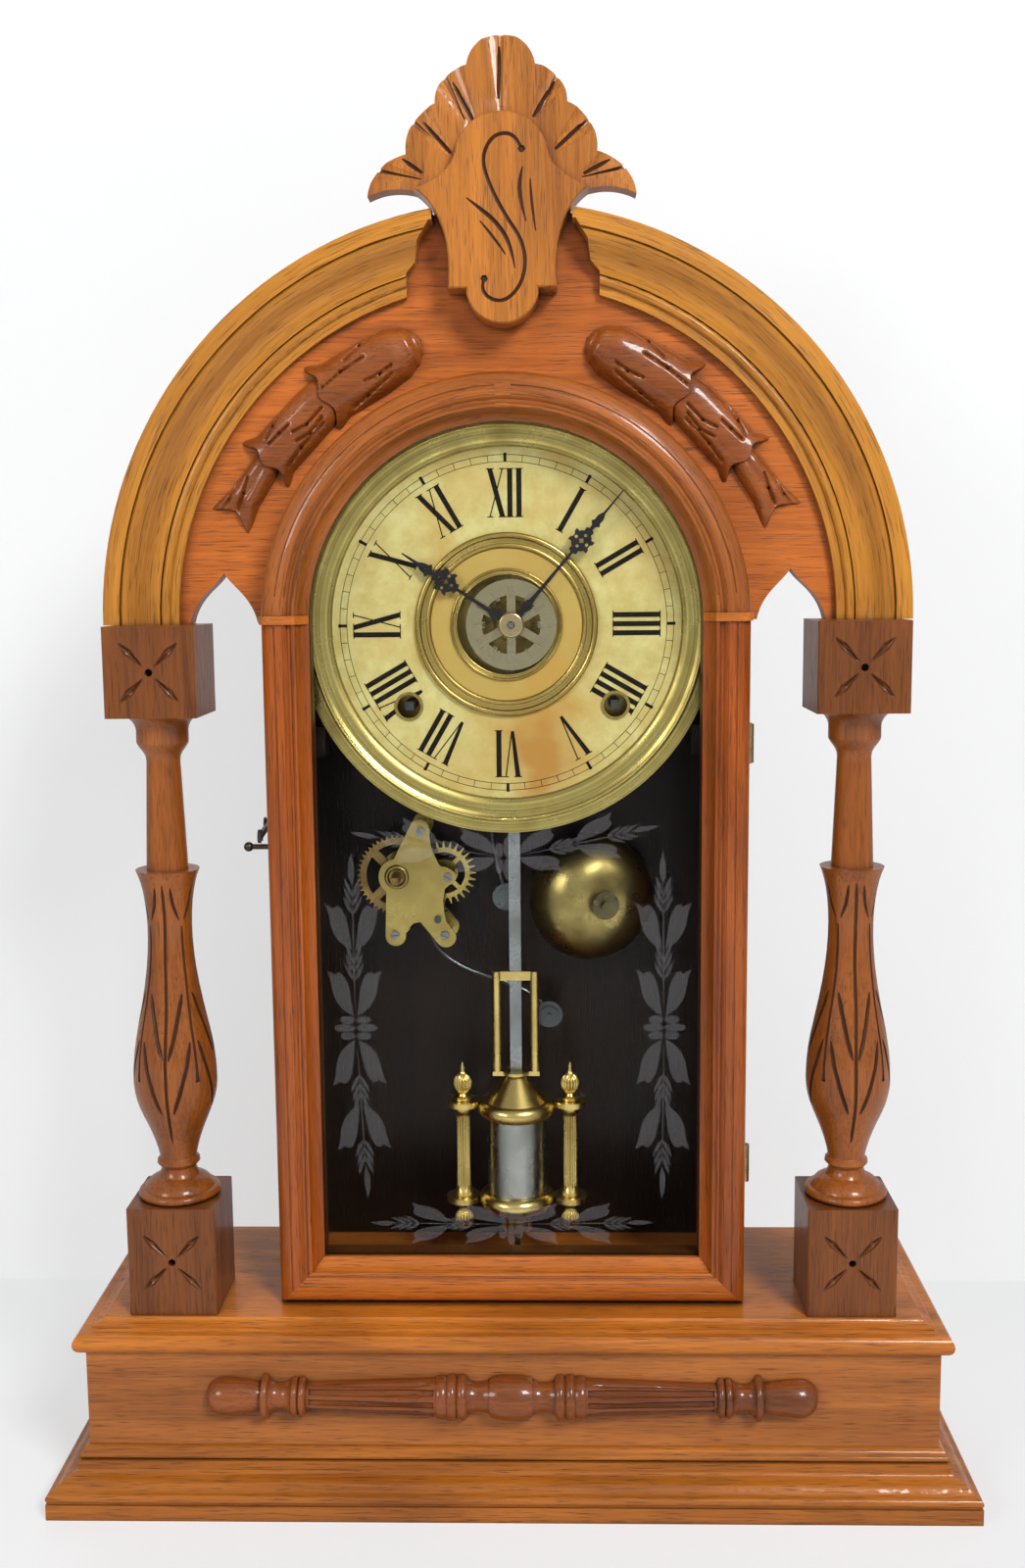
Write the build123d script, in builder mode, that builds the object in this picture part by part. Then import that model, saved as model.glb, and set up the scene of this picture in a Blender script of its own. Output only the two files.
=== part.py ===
from build123d import *
import math
import os

# Carved walnut shelf clock: an arched case with a glazed door on a moulded box base, a free column on each
# side, and a round arch with a carved crest. Millimetres, +Z up, front towards -Y, origin at the middle of
# the base's underside.

os.makedirs("parts", exist_ok=True)

# Whole object, worked out from the dial's pan outwards: the case fits the pan, the arch fits the case, the
# columns carry the arch and the base carries the columns.
pan_flange_r = 86.4
pan_clearance = 1.6
case_wall = 9.5
arch_band = 36.3
moulding_width = 28.8
column_inset = 22.3
frieze_reach = 35.2
plinth_projection = 15.0
base_depth = 112.0
spring_z = 363.0
overrun = 2.0
glue_gap = 0.05
running_gap = 0.05
case_inner = pan_flange_r + pan_clearance
case_half = case_inner + case_wall
arch_inner_r = case_half + arch_band
arch_outer_r = arch_inner_r + moulding_width
column_x = arch_outer_r - column_inset
frieze_half = column_x + frieze_reach
base_width = 2 * (frieze_half + plinth_projection)
back_y = base_depth / 2
front_y = -base_depth / 2

# Base
plinth_height = 25.0
board_thickness = 10.0
bottom_thickness = 8.0
slab_bottom_z = 65.6
slab_thickness = 12.0
slab_overhang = 4.4
frieze_y = front_y + plinth_projection
slab_top_z = slab_bottom_z + slab_thickness

# Case: door and arch share its spring line and its centre.
case_front_y = -7.0
back_board_thickness = 6.0
back_board_y = back_y - back_board_thickness

# Columns and their blocks
block_size = 36.6
block_setback = 7.8
block_front_y = frieze_y + block_setback
column_y = block_front_y + block_size / 2
lower_block_height = 46.0
upper_block_height = 36.3
lower_block_top = slab_top_z + lower_block_height
upper_block_bottom = spring_z - upper_block_height
column_length = upper_block_bottom - lower_block_top

# Movement and dial share one height; the movement stands a little right of the case's centre.
dial_drop = 1.4
dial_z = spring_z - dial_drop
movement_x = 2.0


def front_plane(y, x=0.0, z=0.0):
    """A drawing plane that faces the viewer: X to the right, Z up, extruding towards the front."""
    return Plane(origin=(x, y, z), x_dir=(1, 0, 0), z_dir=(0, -1, 0))


def keep(piece, name):
    """Label a finished piece and write its file."""
    piece.part.label = name
    export_step(piece.part, f"parts/{name}.step")


def keep_set(pieces, name):
    """Write several like pieces, each its own solid, as one node."""
    solids = [solid for piece in pieces for solid in piece.solids()]
    export_step(Compound(label=name, children=solids), f"parts/{name}.step")


def polar(radius, degrees):
    """A point at a clock angle: clockwise from twelve, as seen from the front."""
    turn = math.radians(degrees)
    return (radius * math.sin(turn), radius * math.cos(turn))


# Base: a box of boards. The corners are mitred, so the front shows no end grain.
with BuildPart() as frieze_front:
    with BuildSketch(Plane.XY):
        with BuildLine():
            Polyline(
                (-frieze_half, frieze_y),
                (frieze_half, frieze_y),
                (frieze_half - board_thickness, frieze_y + board_thickness),
                (-frieze_half + board_thickness, frieze_y + board_thickness),
                close=True,
            )
        make_face()
    extrude(amount=slab_bottom_z)
keep(frieze_front, "frieze_front_board")

with BuildPart() as base_side:
    with BuildSketch(Plane.XY):
        with BuildLine():
            Polyline(
                (frieze_half, frieze_y),
                (frieze_half, back_y),
                (frieze_half - board_thickness, back_y),
                (frieze_half - board_thickness, frieze_y + board_thickness),
                close=True,
            )
        make_face()
    extrude(amount=slab_bottom_z)

with BuildPart() as base_back:
    with BuildSketch(Plane.XY):
        with Locations((0, back_y - board_thickness / 2)):
            Rectangle(2 * (frieze_half - board_thickness), board_thickness)
    extrude(amount=slab_bottom_z)
keep_set([base_side.part, base_side.part.mirror(Plane.YZ), base_back.part], "base_side_and_back_boards")

bottom_depth = back_y - frieze_y - 2 * board_thickness
with BuildPart() as base_bottom:
    with BuildSketch(Plane.XY):
        with Locations((0, frieze_y + board_thickness + bottom_depth / 2)):
            Rectangle(2 * (frieze_half - board_thickness), bottom_depth)
    extrude(amount=bottom_thickness)
keep(base_bottom, "base_bottom_board")

# Plinth moulding, from the floor up: a flat, a bullnose, an ogee, a fillet and two beads.
plinth_flat = 6.6
plinth_groove = 0.8
plinth_bullnose = 3.4
plinth_ogee_top = 16.4
plinth_fillet_top = 20.0
plinth_fillet_out = 4.4
plinth_bead_out = 2.6
plinth_bead_step = 2.5


def plinth_outline():
    """The plinth's section as (distance out from the frieze, height)."""
    nose_z = plinth_flat + plinth_groove
    nose_top = nose_z + plinth_bullnose
    with BuildLine() as line:
        Polyline(
            (0, 0),
            (plinth_projection, 0),
            (plinth_projection, plinth_flat),
            (plinth_projection - plinth_groove, plinth_flat),
            (plinth_projection - plinth_groove, nose_z),
        )
        ThreePointArc(
            (plinth_projection - plinth_groove, nose_z),
            (plinth_projection, nose_z + plinth_bullnose / 2),
            (plinth_projection - plinth_bullnose / 2, nose_top),
        )
        Spline(
            (plinth_projection - plinth_bullnose / 2, nose_top),
            ((plinth_projection + plinth_fillet_out) / 2, (nose_top + plinth_ogee_top) / 2),
            (plinth_fillet_out, plinth_ogee_top),
            tangents=[(-1, 0.1), (-0.2, 1)],
        )
        Polyline(
            (plinth_fillet_out, plinth_ogee_top),
            (plinth_fillet_out, plinth_fillet_top),
            (plinth_bead_out, plinth_fillet_top),
        )
        ThreePointArc(
            (plinth_bead_out, plinth_fillet_top),
            (plinth_bead_out + plinth_groove, plinth_fillet_top + plinth_bead_step / 2),
            (plinth_bead_out, plinth_fillet_top + plinth_bead_step),
        )
        ThreePointArc(
            (plinth_bead_out, plinth_fillet_top + plinth_bead_step),
            (plinth_bead_out - plinth_groove, plinth_height - plinth_groove),
            (0, plinth_height),
        )
        Line((0, plinth_height), (0, 0))
    return line.line


plinth_section = plinth_outline()
mitre_right = Plane(origin=(frieze_half, frieze_y, 0), z_dir=(1, 1, 0))
mitre_left = Plane(origin=(-frieze_half, frieze_y, 0), z_dir=(-1, 1, 0))

with BuildPart() as plinth_front:
    with BuildSketch(Plane(origin=(-base_width / 2, frieze_y, 0), x_dir=(0, -1, 0), z_dir=(-1, 0, 0))):
        make_face(plinth_section)
    extrude(amount=-base_width)
    split(bisect_by=mitre_right, keep=Keep.BOTTOM)
    split(bisect_by=mitre_left, keep=Keep.BOTTOM)

with BuildPart() as plinth_side:
    with BuildSketch(Plane(origin=(frieze_half, back_y, 0), x_dir=(1, 0, 0), z_dir=(0, -1, 0))):
        make_face(plinth_section)
    extrude(amount=base_depth)
    split(bisect_by=mitre_right, keep=Keep.TOP)

keep_set([plinth_front.part, plinth_side.part, plinth_side.part.mirror(Plane.YZ)], "plinth_mouldings")

# Top slab: one board, moulded on the front and both ends.
slab_nose = 4.1
slab_recess = 1.0
slab_fillet_in = 2.4
slab_fillet_z = 9.0
slab_ogee_z = 10.0
slab_top_in = 6.5
slab_half = frieze_half + slab_overhang


def slab_edge(edge, sign):
    """The slab's moulded edge from the underside up, running out at sign from the frieze at edge."""
    out = edge + sign * slab_overhang
    with BuildLine() as line:
        ThreePointArc(
            (out - sign * slab_nose, 0),
            (out, slab_nose),
            (out - sign * slab_nose / 2, 2 * slab_nose),
        )
        Polyline(
            (out - sign * slab_nose / 2, 2 * slab_nose),
            (edge - sign * slab_recess, 2 * slab_nose),
            (edge - sign * slab_fillet_in, slab_fillet_z),
            (edge - sign * slab_fillet_in, slab_ogee_z),
        )
        Spline(
            (edge - sign * slab_fillet_in, slab_ogee_z),
            (edge - sign * slab_top_in, slab_thickness),
            tangents=[(-sign, 0.1), (-sign * 0.3, 1)],
        )
    return line


with BuildPart() as slab:
    with BuildSketch(Plane(origin=(-slab_half, 0, slab_bottom_z), x_dir=(0, 1, 0), z_dir=(1, 0, 0))):
        with BuildLine():
            add(slab_edge(frieze_y, -1).line)
            Polyline(
                (frieze_y + slab_top_in, slab_thickness),
                (back_y, slab_thickness),
                (back_y, 0),
                (frieze_y - slab_overhang + slab_nose, 0),
            )
        make_face()
    extrude(amount=2 * slab_half)
    with BuildSketch(front_plane(back_y, z=slab_bottom_z)):
        with BuildLine():
            add(slab_edge(frieze_half, 1).line)
            add(slab_edge(-frieze_half, -1).line)
            Line((frieze_half - slab_top_in, slab_thickness), (-frieze_half + slab_top_in, slab_thickness))
            Line((slab_half - slab_nose, 0), (-slab_half + slab_nose, 0))
        make_face()
    extrude(amount=base_depth, mode=Mode.INTERSECT)
keep(slab, "base_top_slab")

# Split turning: half a spindle, glued to the frieze, with a fluted cone on each side of its ball.
turning_z = 46.8
turning_ball = 8.7
turning_ball_r = 9.3
turning_neck = 9.3
turning_neck_r = 7.2
turning_ring = 4.2
turning_ring_r = 8.6
turning_ring_crown = 1.1
turning_cone = 53.7
turning_cone_thick_r = 8.2
turning_cone_thin_r = 5.9
turning_bead = 3.1
turning_bead_r = 7.2
turning_bead_crown = 1.2
turning_cove = 9.0
turning_cove_r = 7.4
turning_cove_depth = 1.8
turning_end = 23.0
turning_end_r = 6.0
turning_end_swell = 1.4
flute_r = 1.5
flute_tip_r = 0.4
flute_margin = 3.0
flute_nose = 4.0
flute_sink = 0.9
flute_angles = (-60, -30, 0, 30, 60)

# Each step of the turning, from its ball out, is (length, first radius, last radius, crown of its arc).
turning_steps = [
    (turning_ball, turning_ball_r, turning_ball_r - turning_ring_crown, turning_ring_crown / 2),
    (turning_neck, turning_neck_r, turning_neck_r, -turning_ring_crown),
    (turning_ring, turning_ring_r, turning_ring_r, turning_ring_crown),
    (turning_ring, turning_ring_r, turning_ring_r, turning_ring_crown),
    (turning_ring, turning_ring_r, turning_ring_r, turning_ring_crown / 2),
    (turning_cone, turning_cone_thick_r, turning_cone_thin_r, 0),
    (turning_bead, turning_bead_r, turning_bead_r, turning_bead_crown),
    (turning_bead, turning_bead_r, turning_bead_r, turning_bead_crown),
    (turning_cove, turning_cove_r, turning_cove_r, -turning_cove_depth),
    (turning_bead, turning_ring_r, turning_ring_r, turning_ring_crown),
]
cone_start = turning_ball + turning_neck + 3 * turning_ring
turning_half = sum(step[0] for step in turning_steps) + turning_end


def turning_side(side):
    """Draws one half of the turning's outline, from its middle to its round end."""
    x, last_r = 0, turning_ball_r
    for length, first_r, end_r, crown in turning_steps:
        if first_r != last_r:
            Line((side * x, last_r), (side * x, first_r))
        if crown:
            middle = (side * (x + length / 2), (first_r + end_r) / 2 + crown)
            ThreePointArc((side * x, first_r), middle, (side * (x + length), end_r))
        else:
            Line((side * x, first_r), (side * (x + length), end_r))
        x, last_r = x + length, end_r
    Line((side * x, last_r), (side * x, turning_end_r))
    Spline(
        (side * x, turning_end_r),
        (side * (x + turning_end / 3), turning_end_r + turning_end_swell),
        (side * turning_half, 0),
        tangents=[(side, 0.3), (0, -1)],
    )


def turning_flute(side, angle):
    """Cuts one flute into a cone: it widens quickly from its inner end and narrows slowly to its outer end."""
    turn = math.radians(angle)
    slope = (turning_cone_thin_r - turning_cone_thick_r) / turning_cone

    def on_cone(distance, lift):
        r = turning_cone_thick_r + slope * distance + lift
        return Vector(side * (cone_start + distance), frieze_y - r * math.cos(turn),
                      turning_z + r * math.sin(turn))

    inner = on_cone(flute_margin, 0)
    widest = on_cone(flute_margin + flute_nose, flute_r - flute_sink)
    outer = on_cone(turning_cone - flute_margin, 0)
    for tip in (inner, outer):
        with Locations(Plane(origin=widest, z_dir=tip - widest)):
            Cone(flute_r, flute_tip_r, (tip - widest).length,
                 align=(Align.CENTER, Align.CENTER, Align.MIN), mode=Mode.SUBTRACT)


with BuildPart() as turning:
    with BuildSketch(front_plane(frieze_y, z=turning_z)):
        with BuildLine():
            turning_side(1)
            turning_side(-1)
            Line((-turning_half, 0), (turning_half, 0))
        make_face()
    revolve(axis=Axis((0, frieze_y, turning_z), (1, 0, 0)), revolution_arc=180)
    for side in (-1, 1):
        for angle in flute_angles:
            turning_flute(side, angle)
keep(turning, "split_turning")

# Column blocks: each face to the front has four tapered gouges and a small hole at their middle. The
# turned columns have round tenons that stand in the blocks.
tenon_r = 6.0
tenon_length = 12.0
gouge_length = 13.0
gouge_r = 1.6
gouge_start = 3.4
gouge_rise_share = 0.62
gouge_centre_r = 1.5
block_arris = 0.6


def column_block(bottom_z, height, hole_z):
    """One square block with its gouged front and the hole for the column's tenon."""
    with BuildPart() as block:
        with Locations((column_x, column_y, bottom_z)):
            Box(block_size, block_size, height, align=(Align.CENTER, Align.CENTER, Align.MIN))
        chamfer(block.edges().filter_by(Axis.Z), block_arris)
        with Locations((column_x, column_y, hole_z)):
            Cylinder(tenon_r + running_gap, tenon_length,
                     align=(Align.CENTER, Align.CENTER, Align.MIN), mode=Mode.SUBTRACT)
        face = front_plane(block_front_y, column_x, bottom_z + height / 2)
        with BuildSketch(face):
            Circle(gouge_centre_r)
        extrude(amount=-gouge_length / 2, mode=Mode.SUBTRACT)
        for quarter in range(4):
            turn = math.radians(45 + 90 * quarter)
            along = (math.cos(turn), 0, math.sin(turn))
            start = (
                column_x + gouge_start * along[0],
                block_front_y,
                bottom_z + height / 2 + gouge_start * along[2],
            )
            rise = gouge_length * gouge_rise_share
            with Locations(Plane(origin=start, z_dir=along)):
                Cone(gouge_r / 4, gouge_r, rise,
                     align=(Align.CENTER, Align.CENTER, Align.MIN), mode=Mode.SUBTRACT)
                with Locations((0, 0, rise)):
                    Cone(gouge_r, gouge_r / 4, gouge_length - rise,
                         align=(Align.CENTER, Align.CENTER, Align.MIN), mode=Mode.SUBTRACT)
    return block


lower_block = column_block(slab_top_z, lower_block_height, lower_block_top - tenon_length)
keep_set([lower_block.part, lower_block.part.mirror(Plane.YZ)], "lower_blocks")

upper_block = column_block(upper_block_bottom, upper_block_height, upper_block_bottom)
keep_set([upper_block.part, upper_block.part.mirror(Plane.YZ)], "upper_blocks")

# Columns, from the foot up: torus, bead, neck, vase with a sharp rim, swelling shaft, ogee and capital.
column_torus_r = 17.0
column_torus_height = 5.2
column_bead_r = 9.4
column_neck_r = 6.9
column_vase_r = 17.2
column_waist_r = 9.1
column_rim_r = 13.0
column_shaft_low_r = 8.5
column_shaft_top_r = 6.8
column_band_r = 10.5
column_cap_r = 15.6
neck_share = 0.061
vase_widest_share = 0.249
shoulder_share = 0.394
waist_share = 0.548
rim_share = 0.687
shaft_top_share = 0.908
band_low_share = 0.946
band_top_share = 0.971
torus_face = 3.6
bead_height = 3.4


def column_outline(z):
    """The column's section; z turns a share of its length into a height."""
    torus_top = lower_block_top + column_torus_height
    with BuildLine() as line:
        Line((0, lower_block_top), (column_torus_r - torus_face / 2, lower_block_top))
        ThreePointArc(
            (column_torus_r - torus_face / 2, lower_block_top),
            (column_torus_r, lower_block_top + torus_face / 2),
            (column_torus_r - torus_face / 2, lower_block_top + torus_face),
        )
        Line((column_torus_r - torus_face / 2, lower_block_top + torus_face), (column_bead_r, torus_top))
        ThreePointArc(
            (column_bead_r - bead_height / 4, torus_top),
            (column_bead_r, torus_top + bead_height / 2),
            (column_bead_r - bead_height / 4, torus_top + bead_height),
        )
        Line((column_bead_r, torus_top), (column_bead_r - bead_height / 4, torus_top))
        Line((column_bead_r - bead_height / 4, torus_top + bead_height), (column_neck_r, z(neck_share)))
        Spline(
            (column_neck_r, z(neck_share)),
            ((column_neck_r + column_vase_r) / 2, z((neck_share + vase_widest_share) / 2)),
            (column_vase_r, z(vase_widest_share)),
            tangents=[(0.1, 1), (0, 1)],
        )
        Spline(
            (column_vase_r, z(vase_widest_share)),
            ((column_vase_r + column_waist_r) / 2, z(shoulder_share)),
            (column_waist_r, z(waist_share)),
            (column_rim_r, z(rim_share)),
            tangents=[(0, 1), (0.45, 1)],
        )
        Line((column_rim_r, z(rim_share)), (column_shaft_low_r, z(rim_share)))
        Line((column_shaft_low_r, z(rim_share)), (column_shaft_top_r, z(shaft_top_share)))
        Spline(
            (column_shaft_top_r, z(shaft_top_share)),
            (column_band_r, z(band_low_share)),
            tangents=[(0, 1), (0.3, 1)],
        )
        Line((column_band_r, z(band_low_share)), (column_band_r, z(band_top_share)))
        RadiusArc((column_band_r, z(band_top_share)), (column_cap_r, upper_block_bottom),
                  column_cap_r - column_band_r + torus_face / 2)
        Line((column_cap_r, upper_block_bottom), (0, upper_block_bottom))
        Line((0, upper_block_bottom), (0, lower_block_top))
    return line.line


with BuildPart() as column:
    with BuildSketch(front_plane(column_y, column_x)):
        make_face(column_outline(lambda share: lower_block_top + share * column_length))
    revolve(axis=Axis((column_x, column_y, 0), (0, 0, 1)))
    with Locations((column_x, column_y, lower_block_top)):
        Cylinder(tenon_r, tenon_length - glue_gap, align=(Align.CENTER, Align.CENTER, Align.MAX))
    with Locations((column_x, column_y, upper_block_bottom)):
        Cylinder(tenon_r, tenon_length - glue_gap, align=(Align.CENTER, Align.CENTER, Align.MIN))

keep_set([column.part, column.part.mirror(Plane.YZ)], "turned_columns")

# Arch board: a half ring that stands on the upper blocks and fits round the case. Its lower edge is cut
# to a pointed arch between each column and the case.
arch_board_y = -3.0
arch_board_thickness = 10.0
point_height = 20.5
point_start = 4.5
point_half = 13.5
point_knee_share = 0.62
point_in_x = case_half + point_start
point_x = point_in_x + point_half
point_out_x = point_x + point_half + overrun / 2

with BuildPart() as arch_board:
    with BuildSketch(front_plane(arch_board_y, z=spring_z)):
        Circle(arch_outer_r)
        with Locations((0, -arch_outer_r / 2)):
            Rectangle(2 * arch_outer_r, arch_outer_r, mode=Mode.SUBTRACT)
        Circle(case_half + glue_gap, mode=Mode.SUBTRACT)
        for side in (-1, 1):
            with BuildLine():
                Spline(
                    (side * point_in_x, 0),
                    (side * (point_in_x + point_x) / 2, point_height * point_knee_share),
                    (side * point_x, point_height),
                    tangents=[(side * 0.2, 1), (side * 0.6, 1)],
                )
                Spline(
                    (side * point_x, point_height),
                    (side * (point_out_x + point_x) / 2, point_height * point_knee_share),
                    (side * point_out_x, 0),
                    tangents=[(side * 0.6, -1), (side * 0.2, -1)],
                )
                Line((side * point_out_x, 0), (side * point_in_x, 0))
            make_face(mode=Mode.SUBTRACT)
    extrude(amount=-arch_board_thickness)
keep(arch_board, "arch_board")

# Arch mouldings: a flat band outside, a groove, a broad cove and an inner bead. The end beside the crest is
# shaped like the moulding's own profile.
moulding_depth = 12.0
moulding_band = 6.6
moulding_groove = 1.2
moulding_cove = 13.6
moulding_cove_depth = 5.0
moulding_cove_sag_share = 0.3
moulding_bead = 4.0
moulding_bead_rise = 1.4
moulding_fillet_depth = 3.4
crest_gap_half = 27.4
crest_gap_step = 1.2
crest_gap_cove = 6.0
crest_gap_foot = 10.8


def moulding_outline():
    """Arch moulding section as (radius, distance out from the board)."""
    groove_r = arch_outer_r - moulding_band
    cove_r = groove_r - moulding_groove
    bead_r = cove_r - moulding_cove
    fillet_r = bead_r - moulding_bead
    with BuildLine() as line:
        Polyline(
            (arch_inner_r, 0),
            (arch_outer_r, 0),
            (arch_outer_r, moulding_depth),
            (groove_r, moulding_depth),
            (groove_r, moulding_depth - moulding_groove),
            (cove_r, moulding_depth - moulding_groove / 2),
        )
        Spline(
            (cove_r, moulding_depth - moulding_groove / 2),
            (
                (cove_r + bead_r) / 2,
                moulding_cove_depth + (moulding_depth - moulding_cove_depth) * moulding_cove_sag_share,
            ),
            (bead_r, moulding_cove_depth),
            tangents=[(-1, -0.15), (-1, -0.1)],
        )
        Line((bead_r, moulding_cove_depth), (bead_r, moulding_cove_depth - moulding_groove))
        ThreePointArc(
            (bead_r, moulding_cove_depth - moulding_groove),
            (bead_r - moulding_bead / 2, moulding_cove_depth + moulding_bead_rise - moulding_groove),
            (fillet_r, moulding_cove_depth - moulding_groove),
        )
        Polyline(
            (fillet_r, moulding_cove_depth - moulding_groove),
            (fillet_r, moulding_fillet_depth),
            (arch_inner_r, moulding_fillet_depth),
            (arch_inner_r, 0),
        )
    return line.line


def arch_moulding(side):
    """One quarter of the arch, from its block up to the crest, cut to a profiled end there."""
    band_z = arch_outer_r - moulding_band
    cove_z = band_z - moulding_groove - moulding_cove
    with BuildPart() as moulding:
        with BuildSketch(Plane(origin=(0, arch_board_y, spring_z), x_dir=(side, 0, 0), z_dir=(0, 0, -side))):
            make_face(moulding_outline())
        revolve(axis=Axis((0, 0, spring_z), (0, -side, 0)), revolution_arc=90)
        with BuildSketch(front_plane(arch_board_y + overrun, z=spring_z)):
            with BuildLine():
                Polyline(
                    (side * crest_gap_half, arch_outer_r + overrun),
                    (side * crest_gap_half, band_z),
                    (side * (crest_gap_half + crest_gap_step), band_z),
                    (side * (crest_gap_half + crest_gap_cove), (band_z + cove_z) / 2),
                    (side * (crest_gap_half + crest_gap_cove + crest_gap_step), cove_z),
                    (side * (crest_gap_half + crest_gap_foot), cove_z - moulding_bead),
                    (side * (crest_gap_half + crest_gap_foot), arch_inner_r - moulding_width / 2),
                    (-side * overrun, arch_inner_r - moulding_width / 2),
                    (-side * overrun, arch_outer_r + overrun),
                    (side * crest_gap_half, arch_outer_r + overrun),
                )
            make_face()
        extrude(amount=moulding_depth + 2 * overrun, mode=Mode.SUBTRACT)
    return moulding


keep_set([arch_moulding(1).part, arch_moulding(-1).part], "arch_mouldings")

# Crest: a scalloped fan board behind, and a shield with a hanging tongue in front of it. Heights count from
# the top of the arch.
crest_z = spring_z + arch_outer_r
fan_thickness = 9.5
shield_thickness = 5.0
crest_height = 62.4
fan_half = 52.4
fan_notch_shares = [(0.254, 0.817), (0.49, 0.593), (0.71, 0.298)]
fan_bulge = 3.6
fan_tip_rise = 2.6
fan_under_half = 33.6
fan_under_rise = 4.4
stem_half = 21.9
stem_drop = 14.6
shoulder_half = 21.3
shoulder_drop = 33.0
tongue_half = 14.0
tongue_step = 2.4
tongue_drop = 46.6
shield_rise = 32.8
shield_top_half = 17.5
shield_side_rise = 20.4
scallop_focus_rise = 2.0
scallop_start = 31.0
scallop_start_r = 3.0
scallop_end_r = 12.0
scallop_start_depth = 0.4
scallop_end_depth = 2.2
scallop_cut_r = 1.3
fan_notches = [(fan_half * across, crest_height * up) for across, up in fan_notch_shares]
fan_tip = (fan_half, fan_tip_rise)
fan_front_y = arch_board_y - fan_thickness


def crest_lower_side(side):
    """One side of the crest below the wings: stem, shoulder and half of the tongue."""
    Spline(
        (side * fan_under_half, fan_under_rise),
        (side * stem_half, -stem_drop),
        (side * shoulder_half, -shoulder_drop),
        tangents=[(-side, -0.7), (side * 0.1, -1)],
    )
    Polyline(
        (side * shoulder_half, -shoulder_drop),
        (side * tongue_half, -shoulder_drop),
        (side * tongue_half, -shoulder_drop - tongue_step),
    )


def crest_tongue():
    """The round end of the tongue, from side to side."""
    ThreePointArc(
        (-tongue_half, -shoulder_drop - tongue_step),
        (0, -tongue_drop),
        (tongue_half, -shoulder_drop - tongue_step),
    )


def scallop(edge_x, edge_z):
    """Dishes one lobe of the fan, deeper towards its edge, and cuts a line down its middle."""
    focus = Vector(0, fan_front_y, crest_z + scallop_focus_rise)
    edge = Vector(edge_x, fan_front_y, crest_z + edge_z)
    out = (edge - focus).normalized()
    start = focus + out * scallop_start
    end = edge + out * overrun
    for first, last, first_r, last_r in (
        (scallop_start_depth - scallop_start_r, scallop_end_depth - scallop_end_r,
         scallop_start_r, scallop_end_r),
        (scallop_start_depth, scallop_end_depth, scallop_cut_r / 4, scallop_cut_r),
    ):
        base, top = start + Vector(0, first, 0), end + Vector(0, last, 0)
        with Locations(Plane(origin=base, z_dir=top - base)):
            Cone(first_r, last_r, (top - base).length,
                 align=(Align.CENTER, Align.CENTER, Align.MIN), mode=Mode.SUBTRACT)


with BuildPart() as fan:
    with BuildSketch(front_plane(arch_board_y, z=crest_z)):
        with BuildLine():
            first = fan_notches[0]
            ThreePointArc((-first[0], first[1]), (0, crest_height), (first[0], first[1]))
            for side in (-1, 1):
                stations = fan_notches + [fan_tip]
                for here, there in zip(stations, stations[1:]):
                    SagittaArc(
                        (side * here[0], here[1]),
                        (side * there[0], there[1]),
                        side * fan_bulge,
                    )
                SagittaArc(
                    (side * fan_tip[0], fan_tip[1]),
                    (side * fan_under_half, fan_under_rise),
                    side * -fan_bulge / 2,
                )
                crest_lower_side(side)
            crest_tongue()
        make_face()
    extrude(amount=fan_thickness)
    scallop(0, crest_height)
    for side in (-1, 1):
        stations = fan_notches + [fan_tip]
        for here, there in zip(stations, stations[1:]):
            scallop(side * (here[0] + there[0] + fan_bulge) / 2, (here[1] + there[1] + fan_bulge) / 2)
keep(fan, "crest_fan")

with BuildPart() as shield:
    with BuildSketch(front_plane(fan_front_y, z=crest_z)):
        with BuildLine():
            ThreePointArc(
                (-shield_top_half, shield_side_rise),
                (0, shield_rise),
                (shield_top_half, shield_side_rise),
            )
            for side in (-1, 1):
                Spline(
                    (side * shield_top_half, shield_side_rise),
                    (side * fan_under_half, fan_under_rise),
                    tangents=[(side * 0.1, -1), (side, -0.5)],
                )
                crest_lower_side(side)
            crest_tongue()
        make_face()
    extrude(amount=shield_thickness)
    chamfer(shield.faces().sort_by(Axis.Y)[0].edges(), block_arris)
keep(shield, "crest_shield")

# Husk drops: three bell-shaped leaves in a row on each side of the arch board, each flaring over the next.
# A place is a share of the board's width between case and moulding, and a clock angle.
husk_depth = 8.5
husk_place_shares = [0.6, 0.53, 0.56, 0.76]
husk_angles = [16.8, 38.4, 57.7, 70.0]
husk_size_shares = [1.0, 0.86, 0.66]
husk_half = 10.0

# Sections along one leaf: (share of its length, share of its half width, share of its depth)
husk_section_shares = [
    (-0.14, 0.5, 0.5),
    (0.1, 0.86, 0.85),
    (0.45, 1.0, 1.0),
    (0.8, 0.84, 0.78),
    (1.0, 1.3, 0.9),
]


def husk_section(place, along, half_width, depth):
    """A low half-round section square to the drop, with its flat side on the arch board."""
    across = (along[1], -along[0])
    plane = Plane(
        origin=(place[0], arch_board_y, place[1]),
        x_dir=(across[0], 0, across[1]),
        z_dir=(along[0], 0, along[1]),
    )
    with BuildSketch(plane) as section:
        with BuildLine():
            up = plane.to_local_coords(Vector(place[0], arch_board_y - depth, place[1]))
            ThreePointArc((-half_width, 0), (0, up.Y), (half_width, 0))
            Line((half_width, 0), (-half_width, 0))
        make_face()
    return section.sketch


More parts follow.
